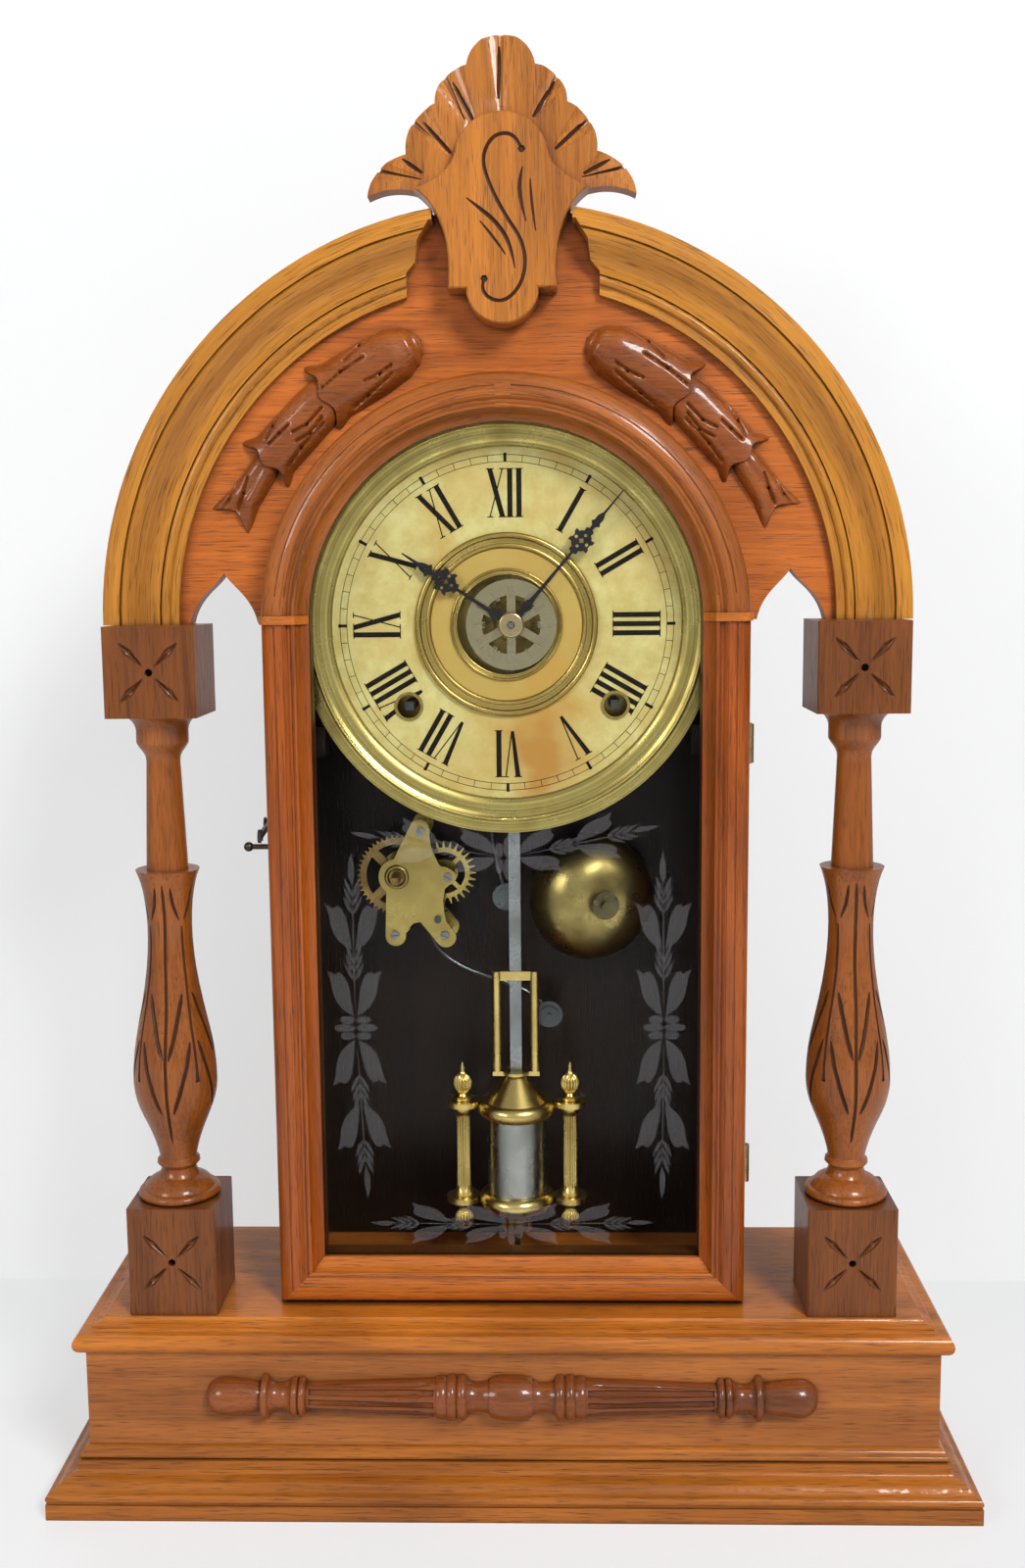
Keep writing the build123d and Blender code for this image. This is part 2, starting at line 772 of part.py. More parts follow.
def husk_leaf(start, end, size_share):
    """One leaf, from its narrow start to its flared lip."""
    length = math.dist(start, end)
    along = ((end[0] - start[0]) / length, (end[1] - start[1]) / length)
    with BuildPart() as leaf:
        sections = []
        for length_share, width_share, depth_share in husk_section_shares:
            place = (start[0] + along[0] * length * length_share, start[1] + along[1] * length * length_share)
            half_width = husk_half * width_share * size_share
            sections.append(husk_section(place, along, half_width, husk_depth * depth_share * size_share))
        loft(sections)
    return leaf


husk_path = []
for place_share, angle in zip(husk_place_shares, husk_angles):
    across, up = polar(case_half + arch_band * place_share, angle)
    husk_path.append((across, spring_z + up))

with BuildPart() as husk:
    for start, end, size_share in zip(husk_path, husk_path[1:], husk_size_shares):
        add(husk_leaf(start, end, size_share))
keep_set([husk.part, husk.part.mirror(Plane.YZ)], "husk_drops")

# Case behind the door: two sides, a bent top and a thin back board, standing on the slab.
case_depth = back_board_y - case_front_y
cleat_thickness = 12.0
cleat_height = 12.0
cleat_width = 12.0
cleat_upper_drop = 12.0
cleat_lower_drop = 48.0
batten_thickness = 6.0
batten_height = 14.0
batten_half = 66.0
batten_spread = 36.0
hinge_leaf = 0.8
hinge_height = 16.0
hinge_upper_z = 312.7
hinge_lower_z = 134.0
hinge_leaf_width = 7.0
door_gap = 0.4

with BuildPart() as case_side:
    with BuildSketch(front_plane(back_board_y)):
        with Locations((case_half - case_wall / 2, (slab_top_z + spring_z) / 2)):
            Rectangle(case_wall, spring_z - slab_top_z)
    extrude(amount=case_depth)

with BuildPart() as case_side_right:
    add(case_side)
    for z in (hinge_lower_z, hinge_upper_z):
        with Locations((case_half, case_front_y, z)):
            Box(2 * hinge_leaf_width, 2 * hinge_leaf, hinge_height + 2 * glue_gap, mode=Mode.SUBTRACT)
keep_set([case_side.part.mirror(Plane.YZ), case_side_right.part], "case_sides")

with BuildPart() as case_top:
    with BuildSketch(front_plane(back_board_y, z=spring_z)):
        Circle(case_half)
        Circle(case_inner, mode=Mode.SUBTRACT)
        with Locations((0, -case_half / 2)):
            Rectangle(2 * case_half, case_half, mode=Mode.SUBTRACT)
    extrude(amount=case_depth)
keep(case_top, "case_top_arch")

with BuildPart() as back_board:
    with BuildSketch(front_plane(back_y)):
        with Locations((0, (slab_top_z + spring_z) / 2)):
            Rectangle(2 * case_half, spring_z - slab_top_z)
        with Locations((0, spring_z)):
            Circle(case_half)
    extrude(amount=back_board_thickness)
keep(back_board, "back_board")

with BuildPart() as battens:
    with Locations(*[(0, back_board_y, dial_z + side * batten_spread) for side in (-1, 1)]):
        Box(2 * batten_half, batten_thickness, batten_height,
            align=(Align.CENTER, Align.MAX, Align.CENTER))
keep(battens, "movement_battens")

# Door: the moulding's section is given as (distance in from the door's outer edge, depth from its front).
door_thickness = 19.0
door_back_y = case_front_y - door_gap
door_front_y = door_back_y - door_thickness
door_width = 18.7
door_lift = 0.8
door_bottom_z = slab_top_z + door_lift
door_ovolo = 8.5
door_ovolo_depth = 6.0
door_crown = 1.2
door_bevel = 1.5
door_groove_in = 12.2
door_bead = 2.2
door_lip_depth = 7.0
door_lip = 2.0
rebate_width = 4.0
glass_thickness = 2.0
collar_height = 3.4
collar_proud = 0.9
rebate_in = door_width - rebate_width
glass_front_y = door_front_y + door_lip_depth + door_lip


def door_section():
    """The section of the door's moulded frame, closed, as one wire."""
    with BuildLine() as line:
        Line((0, door_thickness), (0, door_ovolo_depth))
        Spline(
            (0, door_ovolo_depth),
            (door_ovolo / 3, door_ovolo_depth / 3),
            (door_ovolo, 0),
            tangents=[(0.1, -1), (1, -0.1)],
        )
        Polyline(
            (door_ovolo, 0),
            (door_ovolo + door_crown, 0),
            (door_ovolo + door_crown + door_bevel, door_bevel),
            (door_groove_in, door_bevel),
        )
        ThreePointArc(
            (door_groove_in, door_bevel),
            (door_groove_in + door_bead / 2, door_bevel - door_bead / 2),
            (door_groove_in + door_bead, door_bevel),
        )
        Spline(
            (door_groove_in + door_bead, door_bevel),
            (door_width, door_lip_depth),
            tangents=[(0.3, 1), (1, 0.8)],
        )
        Polyline(
            (door_width, door_lip_depth),
            (door_width, door_lip_depth + door_lip),
            (rebate_in, door_lip_depth + door_lip),
            (rebate_in, door_thickness),
            (0, door_thickness),
        )
    return line.line


section_line = door_section()
door_mitre = Plane(origin=(-case_half, 0, door_bottom_z), z_dir=(-1, 0, 1))
door_mitre_right = Plane(origin=(case_half, 0, door_bottom_z), z_dir=(1, 0, 1))

with BuildPart() as stile:
    with BuildSketch(Plane(origin=(-case_half, door_front_y, door_bottom_z), x_dir=(1, 0, 0),
                           z_dir=(0, 0, 1))):
        make_face(section_line)
    extrude(amount=spring_z - door_bottom_z)
    split(bisect_by=door_mitre, keep=Keep.TOP)

with BuildPart() as stile_right:
    add(stile.part.mirror(Plane.YZ))
    for z in (hinge_lower_z, hinge_upper_z):
        with Locations((case_half, door_back_y, z)):
            Box(2 * hinge_leaf_width, 2 * hinge_leaf, hinge_height + 2 * glue_gap, mode=Mode.SUBTRACT)
keep_set([stile.part, stile_right.part], "door_stiles")

with BuildPart() as rail:
    with BuildSketch(Plane(origin=(-case_half, door_front_y, door_bottom_z), x_dir=(0, 0, 1),
                           z_dir=(-1, 0, 0))):
        make_face(section_line)
    extrude(amount=-2 * case_half)
    split(bisect_by=door_mitre, keep=Keep.BOTTOM)
    split(bisect_by=door_mitre_right, keep=Keep.BOTTOM)
keep(rail, "door_bottom_rail")

with BuildPart() as door_arch:
    with BuildSketch(Plane(origin=(-case_half, door_front_y, spring_z), x_dir=(1, 0, 0), z_dir=(0, 0, 1))):
        make_face(section_line)
    revolve(axis=Axis((0, 0, spring_z), (0, 1, 0)), revolution_arc=90)
    split(bisect_by=Plane.XY.offset(spring_z + collar_height), keep=Keep.TOP)
keep_set([door_arch.part, door_arch.part.mirror(Plane.YZ)], "door_arch_halves")


def collar_section():
    """The collar's section: the frame's outline in plain steps, standing proud of it all round."""
    with BuildLine() as line:
        Line((-collar_proud, door_thickness), (-collar_proud, door_ovolo_depth))
        Spline(
            (-collar_proud, door_ovolo_depth),
            (door_ovolo, -collar_proud),
            tangents=[(0, -1), (1, 0)],
        )
        Polyline(
            (door_ovolo, -collar_proud),
            (door_groove_in + door_bead, -collar_proud / 2),
            (door_width, door_lip_depth - collar_proud),
            (door_width, door_lip_depth + door_lip),
            (rebate_in, door_lip_depth + door_lip),
            (rebate_in, door_thickness),
            (-collar_proud, door_thickness),
        )
    return line.line


with BuildPart() as collar:
    with BuildSketch(Plane(origin=(-case_half, door_front_y, spring_z), x_dir=(1, 0, 0), z_dir=(0, 0, 1))):
        make_face(collar_section())
    extrude(amount=collar_height)
keep_set([collar.part, collar.part.mirror(Plane.YZ)], "door_collars")

# Glass and the wooden slips that hold it, in the rebate behind the moulding's lip.
pane_half = case_half - rebate_in - glue_gap
pane_bottom_z = door_bottom_z + rebate_in + glue_gap


def arched_outline(half_width, bottom_z):
    """Draws an upright panel with a half-round top at the spring line."""
    with Locations((0, (bottom_z + spring_z) / 2)):
        Rectangle(2 * half_width, spring_z - bottom_z)
    with Locations((0, spring_z)):
        Circle(half_width)


with BuildPart() as glass:
    with BuildSketch(front_plane(glass_front_y + glass_thickness)):
        arched_outline(pane_half, pane_bottom_z)
    extrude(amount=glass_thickness)
keep(glass, "door_glass")

slip_depth = door_thickness - door_lip_depth - door_lip - glass_thickness
with BuildPart() as slips:
    with BuildSketch(front_plane(door_back_y)):
        arched_outline(pane_half, pane_bottom_z)
        with BuildSketch(mode=Mode.PRIVATE) as slip_opening:
            arched_outline(pane_half - rebate_width + glue_gap, pane_bottom_z + rebate_width - glue_gap)
        add(slip_opening.sketch, mode=Mode.SUBTRACT)
    extrude(amount=slip_depth - glue_gap)
keep(slips, "glass_slips")

# Butt hinges on the door's right edge. The case leaf has the two outer knuckles and carries the pin.
knuckle_r = 1.8
pin_r = 0.8
hinge_x = case_half + knuckle_r - hinge_leaf / 4
hinge_y = case_front_y - door_gap / 2
knuckle_gap = 0.2
middle_knuckle = hinge_height / 3


def hinge_leaf_plate(z, back_face_y):
    """The flat leaf of one hinge, let into the wood and running out to the knuckle."""
    with Locations((hinge_x - knuckle_r / 2, back_face_y, z)):
        Box(hinge_leaf_width, hinge_leaf, hinge_height, align=(Align.MAX, Align.MIN, Align.CENTER))


outer_knuckle = (hinge_height - middle_knuckle) / 2 - knuckle_gap
knuckle_step = (middle_knuckle + outer_knuckle) / 2 + knuckle_gap
with BuildPart() as hinge_case:
    for z in (hinge_lower_z, hinge_upper_z):
        hinge_leaf_plate(z, case_front_y)
        with Locations((hinge_x - knuckle_r / 2, case_front_y, z)):
            Box(knuckle_r, hinge_leaf + knuckle_r, middle_knuckle + 2 * knuckle_gap,
                align=(Align.MAX, Align.CENTER, Align.CENTER), mode=Mode.SUBTRACT)
        with Locations(*[(hinge_x, hinge_y, z + side * knuckle_step) for side in (-1, 1)]):
            Cylinder(knuckle_r, outer_knuckle)

with BuildPart() as hinge_bores:
    with Locations(*[(hinge_x, hinge_y, z) for z in (hinge_lower_z, hinge_upper_z)]):
        Cylinder(pin_r + running_gap, 2 * hinge_height)

with BuildPart() as hinge_pins:
    with Locations(*[(hinge_x, hinge_y, z) for z in (hinge_lower_z, hinge_upper_z)]):
        Cylinder(pin_r, hinge_height)
        with Locations((0, 0, -hinge_height / 2), (0, 0, hinge_height / 2)):
            Cylinder(pin_r + running_gap, hinge_leaf)
with BuildPart() as hinge_case_drilled:
    add(hinge_case)
    add(hinge_bores, mode=Mode.SUBTRACT)
keep_set([hinge_case_drilled.part, hinge_pins.part], "hinge_case_leaves")

with BuildPart() as hinge_door:
    for z in (hinge_lower_z, hinge_upper_z):
        hinge_leaf_plate(z, door_back_y - hinge_leaf)
        for side in (-1, 1):
            with Locations((hinge_x - knuckle_r / 2, door_back_y, z + side * knuckle_step)):
                Box(knuckle_r, hinge_leaf + knuckle_r, outer_knuckle + 2 * knuckle_gap,
                    align=(Align.MAX, Align.CENTER, Align.CENTER), mode=Mode.SUBTRACT)
        with Locations((hinge_x, hinge_y, z)):
            Cylinder(knuckle_r, middle_knuckle)
    add(hinge_bores, mode=Mode.SUBTRACT)
keep(hinge_door, "hinge_door_leaves")

# Hook on the case's left side. It drops over a pin on the door's edge, and is shown just lifted off it.
catch_y = door_front_y + door_thickness / 2 + 2 * door_crown
catch_z = 272.0
catch_r = 1.1
catch_length = 9.0
catch_head_r = 2.0
hook_pivot_y = 6.0
hook_pivot_z = 278.5
hook_x = case_half + 4.0
hook_thickness = 1.4
hook_width = 2.6
hook_eye_r = 2.6
hook_screw_r = 1.2
hook_mouth_r = catch_r + 0.5
hook_lift = 12.0
hook_tail = 8.0

with BuildPart() as catch_pin:
    with BuildSketch(Plane(origin=(-case_half, catch_y, catch_z), z_dir=(-1, 0, 0))):
        Circle(catch_r)
    extrude(amount=catch_length)
    with Locations(Plane(origin=(-case_half - catch_length, catch_y, catch_z), z_dir=(-1, 0, 0))):
        Sphere(catch_head_r)
keep(catch_pin, "door_catch_pin")

with BuildPart() as hook_screw:
    with BuildSketch(Plane(origin=(-case_half, hook_pivot_y, hook_pivot_z), z_dir=(-1, 0, 0))):
        Circle(hook_screw_r)
    extrude(amount=hook_x - case_half + hook_thickness)
    with BuildSketch(Plane(origin=(-case_half, hook_pivot_y, hook_pivot_z), z_dir=(-1, 0, 0))):
        Circle(hook_eye_r)
    extrude(amount=hook_x - case_half - hook_thickness / 2 - running_gap)
    with BuildSketch(Plane(origin=(-hook_x - hook_thickness, hook_pivot_y, hook_pivot_z),
                           z_dir=(-1, 0, 0))):
        Circle(hook_eye_r)
    extrude(amount=hook_thickness / 2)
keep(hook_screw, "hook_screw")

hook_reach = math.hypot(hook_pivot_y - catch_y, hook_pivot_z - catch_z)
hook_drop = math.degrees(math.atan2(hook_pivot_z - catch_z, hook_pivot_y - catch_y))
hook_turn = math.radians(hook_drop - hook_lift)
hook_plane = Plane(
    origin=(-hook_x + hook_thickness / 2, hook_pivot_y, hook_pivot_z),
    x_dir=(0, -math.cos(hook_turn), -math.sin(hook_turn)),
    z_dir=(-1, 0, 0),
)
with BuildPart() as hook:
    with BuildSketch(hook_plane):
        Circle(hook_eye_r)
        with Locations((hook_reach / 2, 0)):
            Rectangle(hook_reach, hook_width)
        with Locations((hook_reach, 0)):
            Circle(hook_mouth_r + hook_width / 2)
            Circle(hook_mouth_r, mode=Mode.SUBTRACT)
            with Locations((0, -hook_mouth_r - hook_width / 2)):
                Rectangle(2 * hook_mouth_r, 2 * hook_mouth_r + hook_width, mode=Mode.SUBTRACT)
        with Locations((-hook_tail / 2, 0)):
            Rectangle(hook_tail, hook_width / 2)
        Circle(hook_screw_r + running_gap, mode=Mode.SUBTRACT)
    extrude(amount=hook_thickness)
keep(hook, "door_hook")

# Dial: a spun brass pan nailed to cleats in the case, holding a paper dial on a zinc disc.
pan_flange = 1.0
pan_back_y = -0.4
pan_flange_width = 5.4
bezel_width = 6.8
bezel_r = pan_flange_r - pan_flange_width
bezel_proud = 6.0
bezel_crown = 1.6
bezel_step = 1.4
dial_cover = 2.6
dial_disc_r = bezel_r - bezel_width
paper_r = dial_disc_r - dial_cover
dial_thickness = 0.8
dial_lip = 0.7
dial_hole_r = 20.8
dial_front_y = pan_back_y - pan_flange - dial_thickness
winding_out_share = 0.57412
winding_drop_share = 0.44879
grommet_r = 6.0
grommet_bore_r = 4.8
grommet_barrel_r = 5.5
grommet_flange = 0.5
centre_ring_r = 37.0
centre_ring_inner_r = 31.0
centre_bead_r = 22.6
centre_bead_inner_r = 20.2
centre_ring_proud = 2.2
winding_out = dial_disc_r * winding_out_share
winding_drop = dial_disc_r * winding_drop_share
winding_z = dial_z - winding_drop
winding_xs = [movement_x - winding_out, movement_x + winding_out]

with BuildPart() as cleats:
    for side in (-1, 1):
        for drop in (cleat_upper_drop, cleat_lower_drop):
            with Locations((side * case_inner, pan_back_y, dial_z - drop)):
                Box(2 * cleat_width, cleat_thickness, cleat_height,
                    align=(Align.CENTER, Align.MIN, Align.CENTER))
    with Locations((0, 0, dial_z)):
        Box(2 * case_inner, base_depth, 2 * spring_z, mode=Mode.INTERSECT)
keep(cleats, "dial_cleats")

with BuildPart() as pan:
    with BuildSketch(Plane.XY.offset(dial_z)):
        with BuildLine():
            Polyline(
                (dial_disc_r + running_gap, pan_back_y),
                (pan_flange_r, pan_back_y),
                (pan_flange_r, pan_back_y - pan_flange),
                (bezel_r, pan_back_y - pan_flange),
                (bezel_r, pan_back_y - bezel_proud + bezel_crown / 2),
            )
            ThreePointArc(
                (bezel_r, pan_back_y - bezel_proud + bezel_crown / 2),
                (bezel_r - bezel_crown / 2, pan_back_y - bezel_proud),
                (bezel_r - bezel_crown, pan_back_y - bezel_proud + bezel_crown / 2),
            )
            Polyline(
                (bezel_r - bezel_crown, pan_back_y - bezel_proud + bezel_crown / 2),
                (bezel_r - bezel_crown - bezel_step, pan_back_y - bezel_proud + bezel_crown),
            )
            Spline(
                (bezel_r - bezel_crown - bezel_step, pan_back_y - bezel_proud + bezel_crown),
                (paper_r, dial_front_y - dial_lip),
                tangents=[(-1, 0), (-0.8, 1)],
            )
            Polyline(
                (paper_r, dial_front_y - dial_lip),
                (paper_r, dial_front_y),
                (dial_disc_r + running_gap, dial_front_y),
                (dial_disc_r + running_gap, pan_back_y),
            )
        make_face()
    revolve(axis=Axis((0, 0, dial_z), (0, 1, 0)))
keep(pan, "dial_pan")

with BuildPart() as dial:
    with BuildSketch(front_plane(dial_front_y + dial_thickness, z=dial_z)):
        Circle(dial_disc_r)
        Circle(dial_hole_r, mode=Mode.SUBTRACT)
        with Locations(*[(x, -winding_drop) for x in winding_xs]):
            Circle(grommet_barrel_r + running_gap, mode=Mode.SUBTRACT)
    extrude(amount=dial_thickness)
keep(dial, "dial_face")


def spun_ring(outer, inner, proud):
    """A spun brass ring on the dial: a rolled outer edge, a hollow and a rolled inner edge."""
    roll = (outer - inner) / 3
    with BuildPart() as ring:
        with BuildSketch(Plane.XY.offset(dial_z)):
            with BuildLine():
                Line((inner, dial_front_y), (outer, dial_front_y))
                ThreePointArc(
                    (outer, dial_front_y),
                    (outer - roll / 2, dial_front_y - proud),
                    (outer - roll, dial_front_y - proud / 2),
                )
                Line((outer - roll, dial_front_y - proud / 2), (inner + roll, dial_front_y - proud / 3))
                ThreePointArc(
                    (inner + roll, dial_front_y - proud / 3),
                    (inner + roll / 2, dial_front_y - proud / 2),
                    (inner, dial_front_y),
                )
            make_face()
        revolve(axis=Axis((0, 0, dial_z), (0, 1, 0)))
    return ring.part


rings = [
    spun_ring(centre_ring_r, centre_ring_inner_r, centre_ring_proud),
    spun_ring(centre_bead_r, centre_bead_inner_r, centre_ring_proud / 2),
]
keep_set(rings, "dial_centre_rings")

with BuildPart() as grommets:
    for x in winding_xs:
        with BuildSketch(front_plane(dial_front_y + dial_thickness, x, winding_z)):
            Circle(grommet_barrel_r)
            Circle(grommet_bore_r, mode=Mode.SUBTRACT)
        extrude(amount=dial_thickness + grommet_flange)
        with BuildSketch(front_plane(dial_front_y, x, winding_z)):
            Circle(grommet_r)
            Circle(grommet_bore_r, mode=Mode.SUBTRACT)
        extrude(amount=grommet_flange)
keep(grommets, "winding_grommets")

# Movement: two brass plates on four pillars, screwed to battens on the back board.
plate_thickness = 1.6
plate_spread = 26.0
back_plate_y = back_board_y - batten_thickness
front_plate_y = back_plate_y - plate_spread
plate_edge = 17.4
plate_waist_edge = 7.4
plate_hip_rise = 12.3
plate_waist_drop = 9.7
plate_foot_drop = 24.7
plate_half = winding_out + plate_edge
plate_waist_half = winding_out + plate_waist_edge
plate_foot_half = 22.0
plate_top = 50.0
plate_hip = winding_drop - plate_hip_rise
plate_waist = winding_drop + plate_waist_drop
plate_foot = winding_drop + plate_foot_drop
plate_corner_r = 5.0
pillar_r = 2.6
pillar_inset = 10.0
pillar_low_half = 15.0
pillar_margin = 7.0
pivot_r = 1.0
arbor_r = 1.5
winding_arbor_r = 2.4
winding_square = 3.6
winding_end_y = 1.0
swing_pin_length = 7.4
motion_gap = 0.4

# The time train: great wheel to second wheel to centre pinion, twelve turns of the centre to one of the
# great wheel. Each mesh is (wheel teeth, pinion leaves, module). The train's modules follow the distance from
# the winding holes to the centre.
great_tooth_count = 60
great_leaf_count = 15
great_module_share = 0.01387
second_tooth_count = 48
second_leaf_count = 16
second_module_share = 0.016645
minute_tooth_count = 36
minute_leaf_count = 12
minute_module = 0.5
hour_tooth_count = 40
hour_leaf_count = 10
hour_module = 0.48
alarm_tooth_count = 48
alarm_leaf_count = 8
alarm_module = 0.72
winding_reach = math.hypot(winding_out, winding_drop)
great_mesh = (great_tooth_count, great_leaf_count, winding_reach * great_module_share)
second_mesh = (second_tooth_count, second_leaf_count, winding_reach * second_module_share)
minute_mesh = (minute_tooth_count, minute_leaf_count, minute_module)
hour_mesh = (hour_tooth_count, hour_leaf_count, hour_module)
alarm_mesh = (alarm_tooth_count, alarm_leaf_count, alarm_module)


def mesh_distance(mesh):
    """Distance between the two arbors of a mesh."""
    return mesh[2] * (mesh[0] + mesh[1]) / 2


def meeting_point(first, first_r, second, second_r, side):
    """The point at first_r from one centre and second_r from another, on the given side of their line."""
    dx, dz = second[0] - first[0], second[1] - first[1]
    apart = math.hypot(dx, dz)
    along = (first_r**2 - second_r**2 + apart**2) / (2 * apart)
    across = side * math.sqrt(first_r**2 - along**2)
    return (
        first[0] + (along * dx - across * dz) / apart,
        first[1] + (along * dz + across * dx) / apart,
    )


centre_place = (movement_x, dial_z)
time_place = (movement_x + winding_out, winding_z)
strike_place = (movement_x - winding_out, winding_z)
second_place = meeting_point(centre_place, mesh_distance(second_mesh), time_place,
                             mesh_distance(great_mesh), 1)
minute_angle_from_top = -45
minute_direction = polar(mesh_distance(minute_mesh), minute_angle_from_top)
minute_place = (centre_place[0] + minute_direction[0], centre_place[1] + minute_direction[1])
escape_drop = 40.0
swing_drop = 20.0
escape_place = (movement_x, dial_z - escape_drop)
swing_z = dial_z - swing_drop
strike_pivot_in = 10.0
strike_pivot_lift = 2.0
strike_pivot = (movement_x - strike_pivot_in, dial_z - plate_foot + strike_pivot_lift)

# Teeth: a tooth is widest at its root and narrows to its tip, as shares of the pitch angle.
tooth_root_share = 0.56
tooth_tip_share = 0.16
addendum_share = 0.75
dedendum_share = 1.05

# Wheels are crossed out to four spokes.
wheel_spoke_count = 4
wheel_rim_share = 0.8
great_hub_share = 0.4
second_hub_share = 0.26
minute_hub_share = 0.4
hour_hub_share = 0.44
alarm_hub_share = 0.32
great_spoke = 5.0
second_spoke = 3.0
small_spoke = 2.0
alarm_wheel_spoke = 4.0


def tooth_outline(teeth, root_r, tip_r, root_share, tip_share, turn):
    """Corner points of a toothed rim; turn is the angle of one tooth, in degrees from +X towards +Z."""
    pitch = 2 * math.pi / teeth
    points = []
    for tooth in range(teeth):
        middle = math.radians(turn) + tooth * pitch
        for radius, offset in (
            (root_r, -root_share / 2),
            (tip_r, -tip_share / 2),
            (tip_r, tip_share / 2),
            (root_r, root_share / 2),
        ):
            angle = middle + offset * pitch
            points.append((radius * math.cos(angle), radius * math.sin(angle)))
    return points


def gear_face(teeth, module, turn):
    """Adds the outline of one gear to the sketch."""
    pitch_r = teeth * module / 2
    with BuildLine() as line:
        Polyline(
            *tooth_outline(
                teeth,
                pitch_r - dedendum_share * module,
                pitch_r + addendum_share * module,
                tooth_root_share,
                tooth_tip_share,
                turn,
            ),
            close=True,
        )
    make_face(line.edges())


def crossings(rim_r, hub_r, count, spoke, turn=45):
    """Cuts the openings between a wheel's spokes out of the sketch."""
    with BuildSketch(mode=Mode.PRIVATE) as openings:
        Circle(rim_r)
        Circle(hub_r, mode=Mode.SUBTRACT)
        with PolarLocations(0, count, start_angle=turn):
            Rectangle(rim_r * 2, spoke, align=(Align.MIN, Align.CENTER), mode=Mode.SUBTRACT)
    add(openings.sketch, mode=Mode.SUBTRACT)


def wheel_crossings(mesh, hub_share, spoke, turn=45):
    """Crosses a wheel out to four spokes, with its rim and hub as shares of its pitch radius."""
    pitch_r = mesh[0] * mesh[2] / 2
    crossings(pitch_r * wheel_rim_share, pitch_r * hub_share, wheel_spoke_count, spoke, turn)


def place_angle(here, there):
    """Direction from one arbor to another, in degrees from +X towards +Z."""
    return math.degrees(math.atan2(there[1] - here[1], there[0] - here[0]))


def facing_gap(mesh, wheel_place, pinion_place):
    """Tooth turns for wheel and pinion: a wheel tooth on the line of centres meets a pinion gap."""
    toward = place_angle(wheel_place, pinion_place)
    return toward, toward + 180 + 180 / mesh[1]


def arbor(place, radius, back, front):
    """A round arbor along Y from back to front."""
    with Locations(front_plane(back, place[0], place[1])):
        Cylinder(radius, back - front, align=(Align.CENTER, Align.CENTER, Align.MIN))


with BuildPart() as front_plate:
    with BuildSketch(front_plane(front_plate_y + plate_thickness, movement_x, dial_z)):
        with BuildLine():
            FilletPolyline(
                (-plate_half, plate_top),
                (plate_half, plate_top),
                (plate_half, -plate_hip),
                (plate_waist_half, -plate_waist),
                (plate_foot_half, -plate_foot),
                (-plate_foot_half, -plate_foot),
                (-plate_waist_half, -plate_waist),
                (-plate_half, -plate_hip),
                radius=plate_corner_r,
                close=True,
            )
        make_face()
        with Locations(*[(side * plate_half / 2, plate_top / 2 + plate_corner_r) for side in (-1, 1)]):
            RectangleRounded(plate_half / 2, plate_top / 2, plate_corner_r, mode=Mode.SUBTRACT)
    extrude(amount=plate_thickness)

hole_makers = [
    (centre_place, arbor_r),
    (time_place, winding_arbor_r),
    (strike_place, winding_arbor_r),
    (second_place, pivot_r),
    (minute_place, pivot_r),
    (escape_place, pivot_r),
    (strike_pivot, pivot_r),
]
with BuildPart() as plate_holes:
    for place, radius in hole_makers:
        arbor(place, radius + running_gap, back_board_y, front_plate_y - overrun)

with BuildPart() as front_plate_drilled:
    add(front_plate)
    add(plate_holes, mode=Mode.SUBTRACT)
    arbor((movement_x, swing_z), pivot_r, front_plate_y, front_plate_y - swing_pin_length)
    arbor((movement_x, swing_z), 2 * pivot_r, front_plate_y, front_plate_y - motion_gap)

with BuildPart() as back_plate:
    add(front_plate.part.moved(Location((0, back_plate_y - plate_thickness - front_plate_y, 0))))
    add(plate_holes, mode=Mode.SUBTRACT)
keep_set([front_plate_drilled.part, back_plate.part], "movement_plates")

pillar_places = [
    (movement_x + side * out, dial_z + up)
    for out, up in ((plate_half - pillar_inset, plate_top - pillar_margin),
                    (pillar_low_half, pillar_margin - plate_foot))
    for side in (-1, 1)
]
with BuildPart() as pillars:
    for place in pillar_places:
        arbor(place, pillar_r, back_plate_y - plate_thickness, front_plate_y + plate_thickness)
keep(pillars, "movement_pillars")

great_setback = 19.0
great_y = front_plate_y + great_setback
wheel_thickness = 1.6
pinion_length = 6.0
great_turn, great_pinion_turn = facing_gap(great_mesh, time_place, second_place)
second_turn, centre_pinion_turn = facing_gap(second_mesh, second_place, centre_place)
second_y = great_y + wheel_thickness + pinion_length / 4


def great_wheel(place, turn):
    """A great wheel on its winding arbor, whose front end is filed square for the key."""
    with BuildPart() as wheel:
        with BuildSketch(front_plane(great_y + wheel_thickness, place[0], place[1])):
            gear_face(great_mesh[0], great_mesh[2], turn)
            wheel_crossings(great_mesh, great_hub_share, great_spoke, turn)
        extrude(amount=wheel_thickness)
        arbor(place, winding_arbor_r, back_plate_y - running_gap, front_plate_y - overrun)
        with Locations(front_plane(front_plate_y - overrun, place[0], place[1])):
            Box(winding_square, winding_square, front_plate_y - overrun - winding_end_y,
                align=(Align.CENTER, Align.CENTER, Align.MIN))
    return wheel


time_wheel = great_wheel(time_place, great_turn)
keep(time_wheel, "time_great_wheel")
strike_wheel = great_wheel(strike_place, 0)
keep(strike_wheel, "strike_great_wheel")

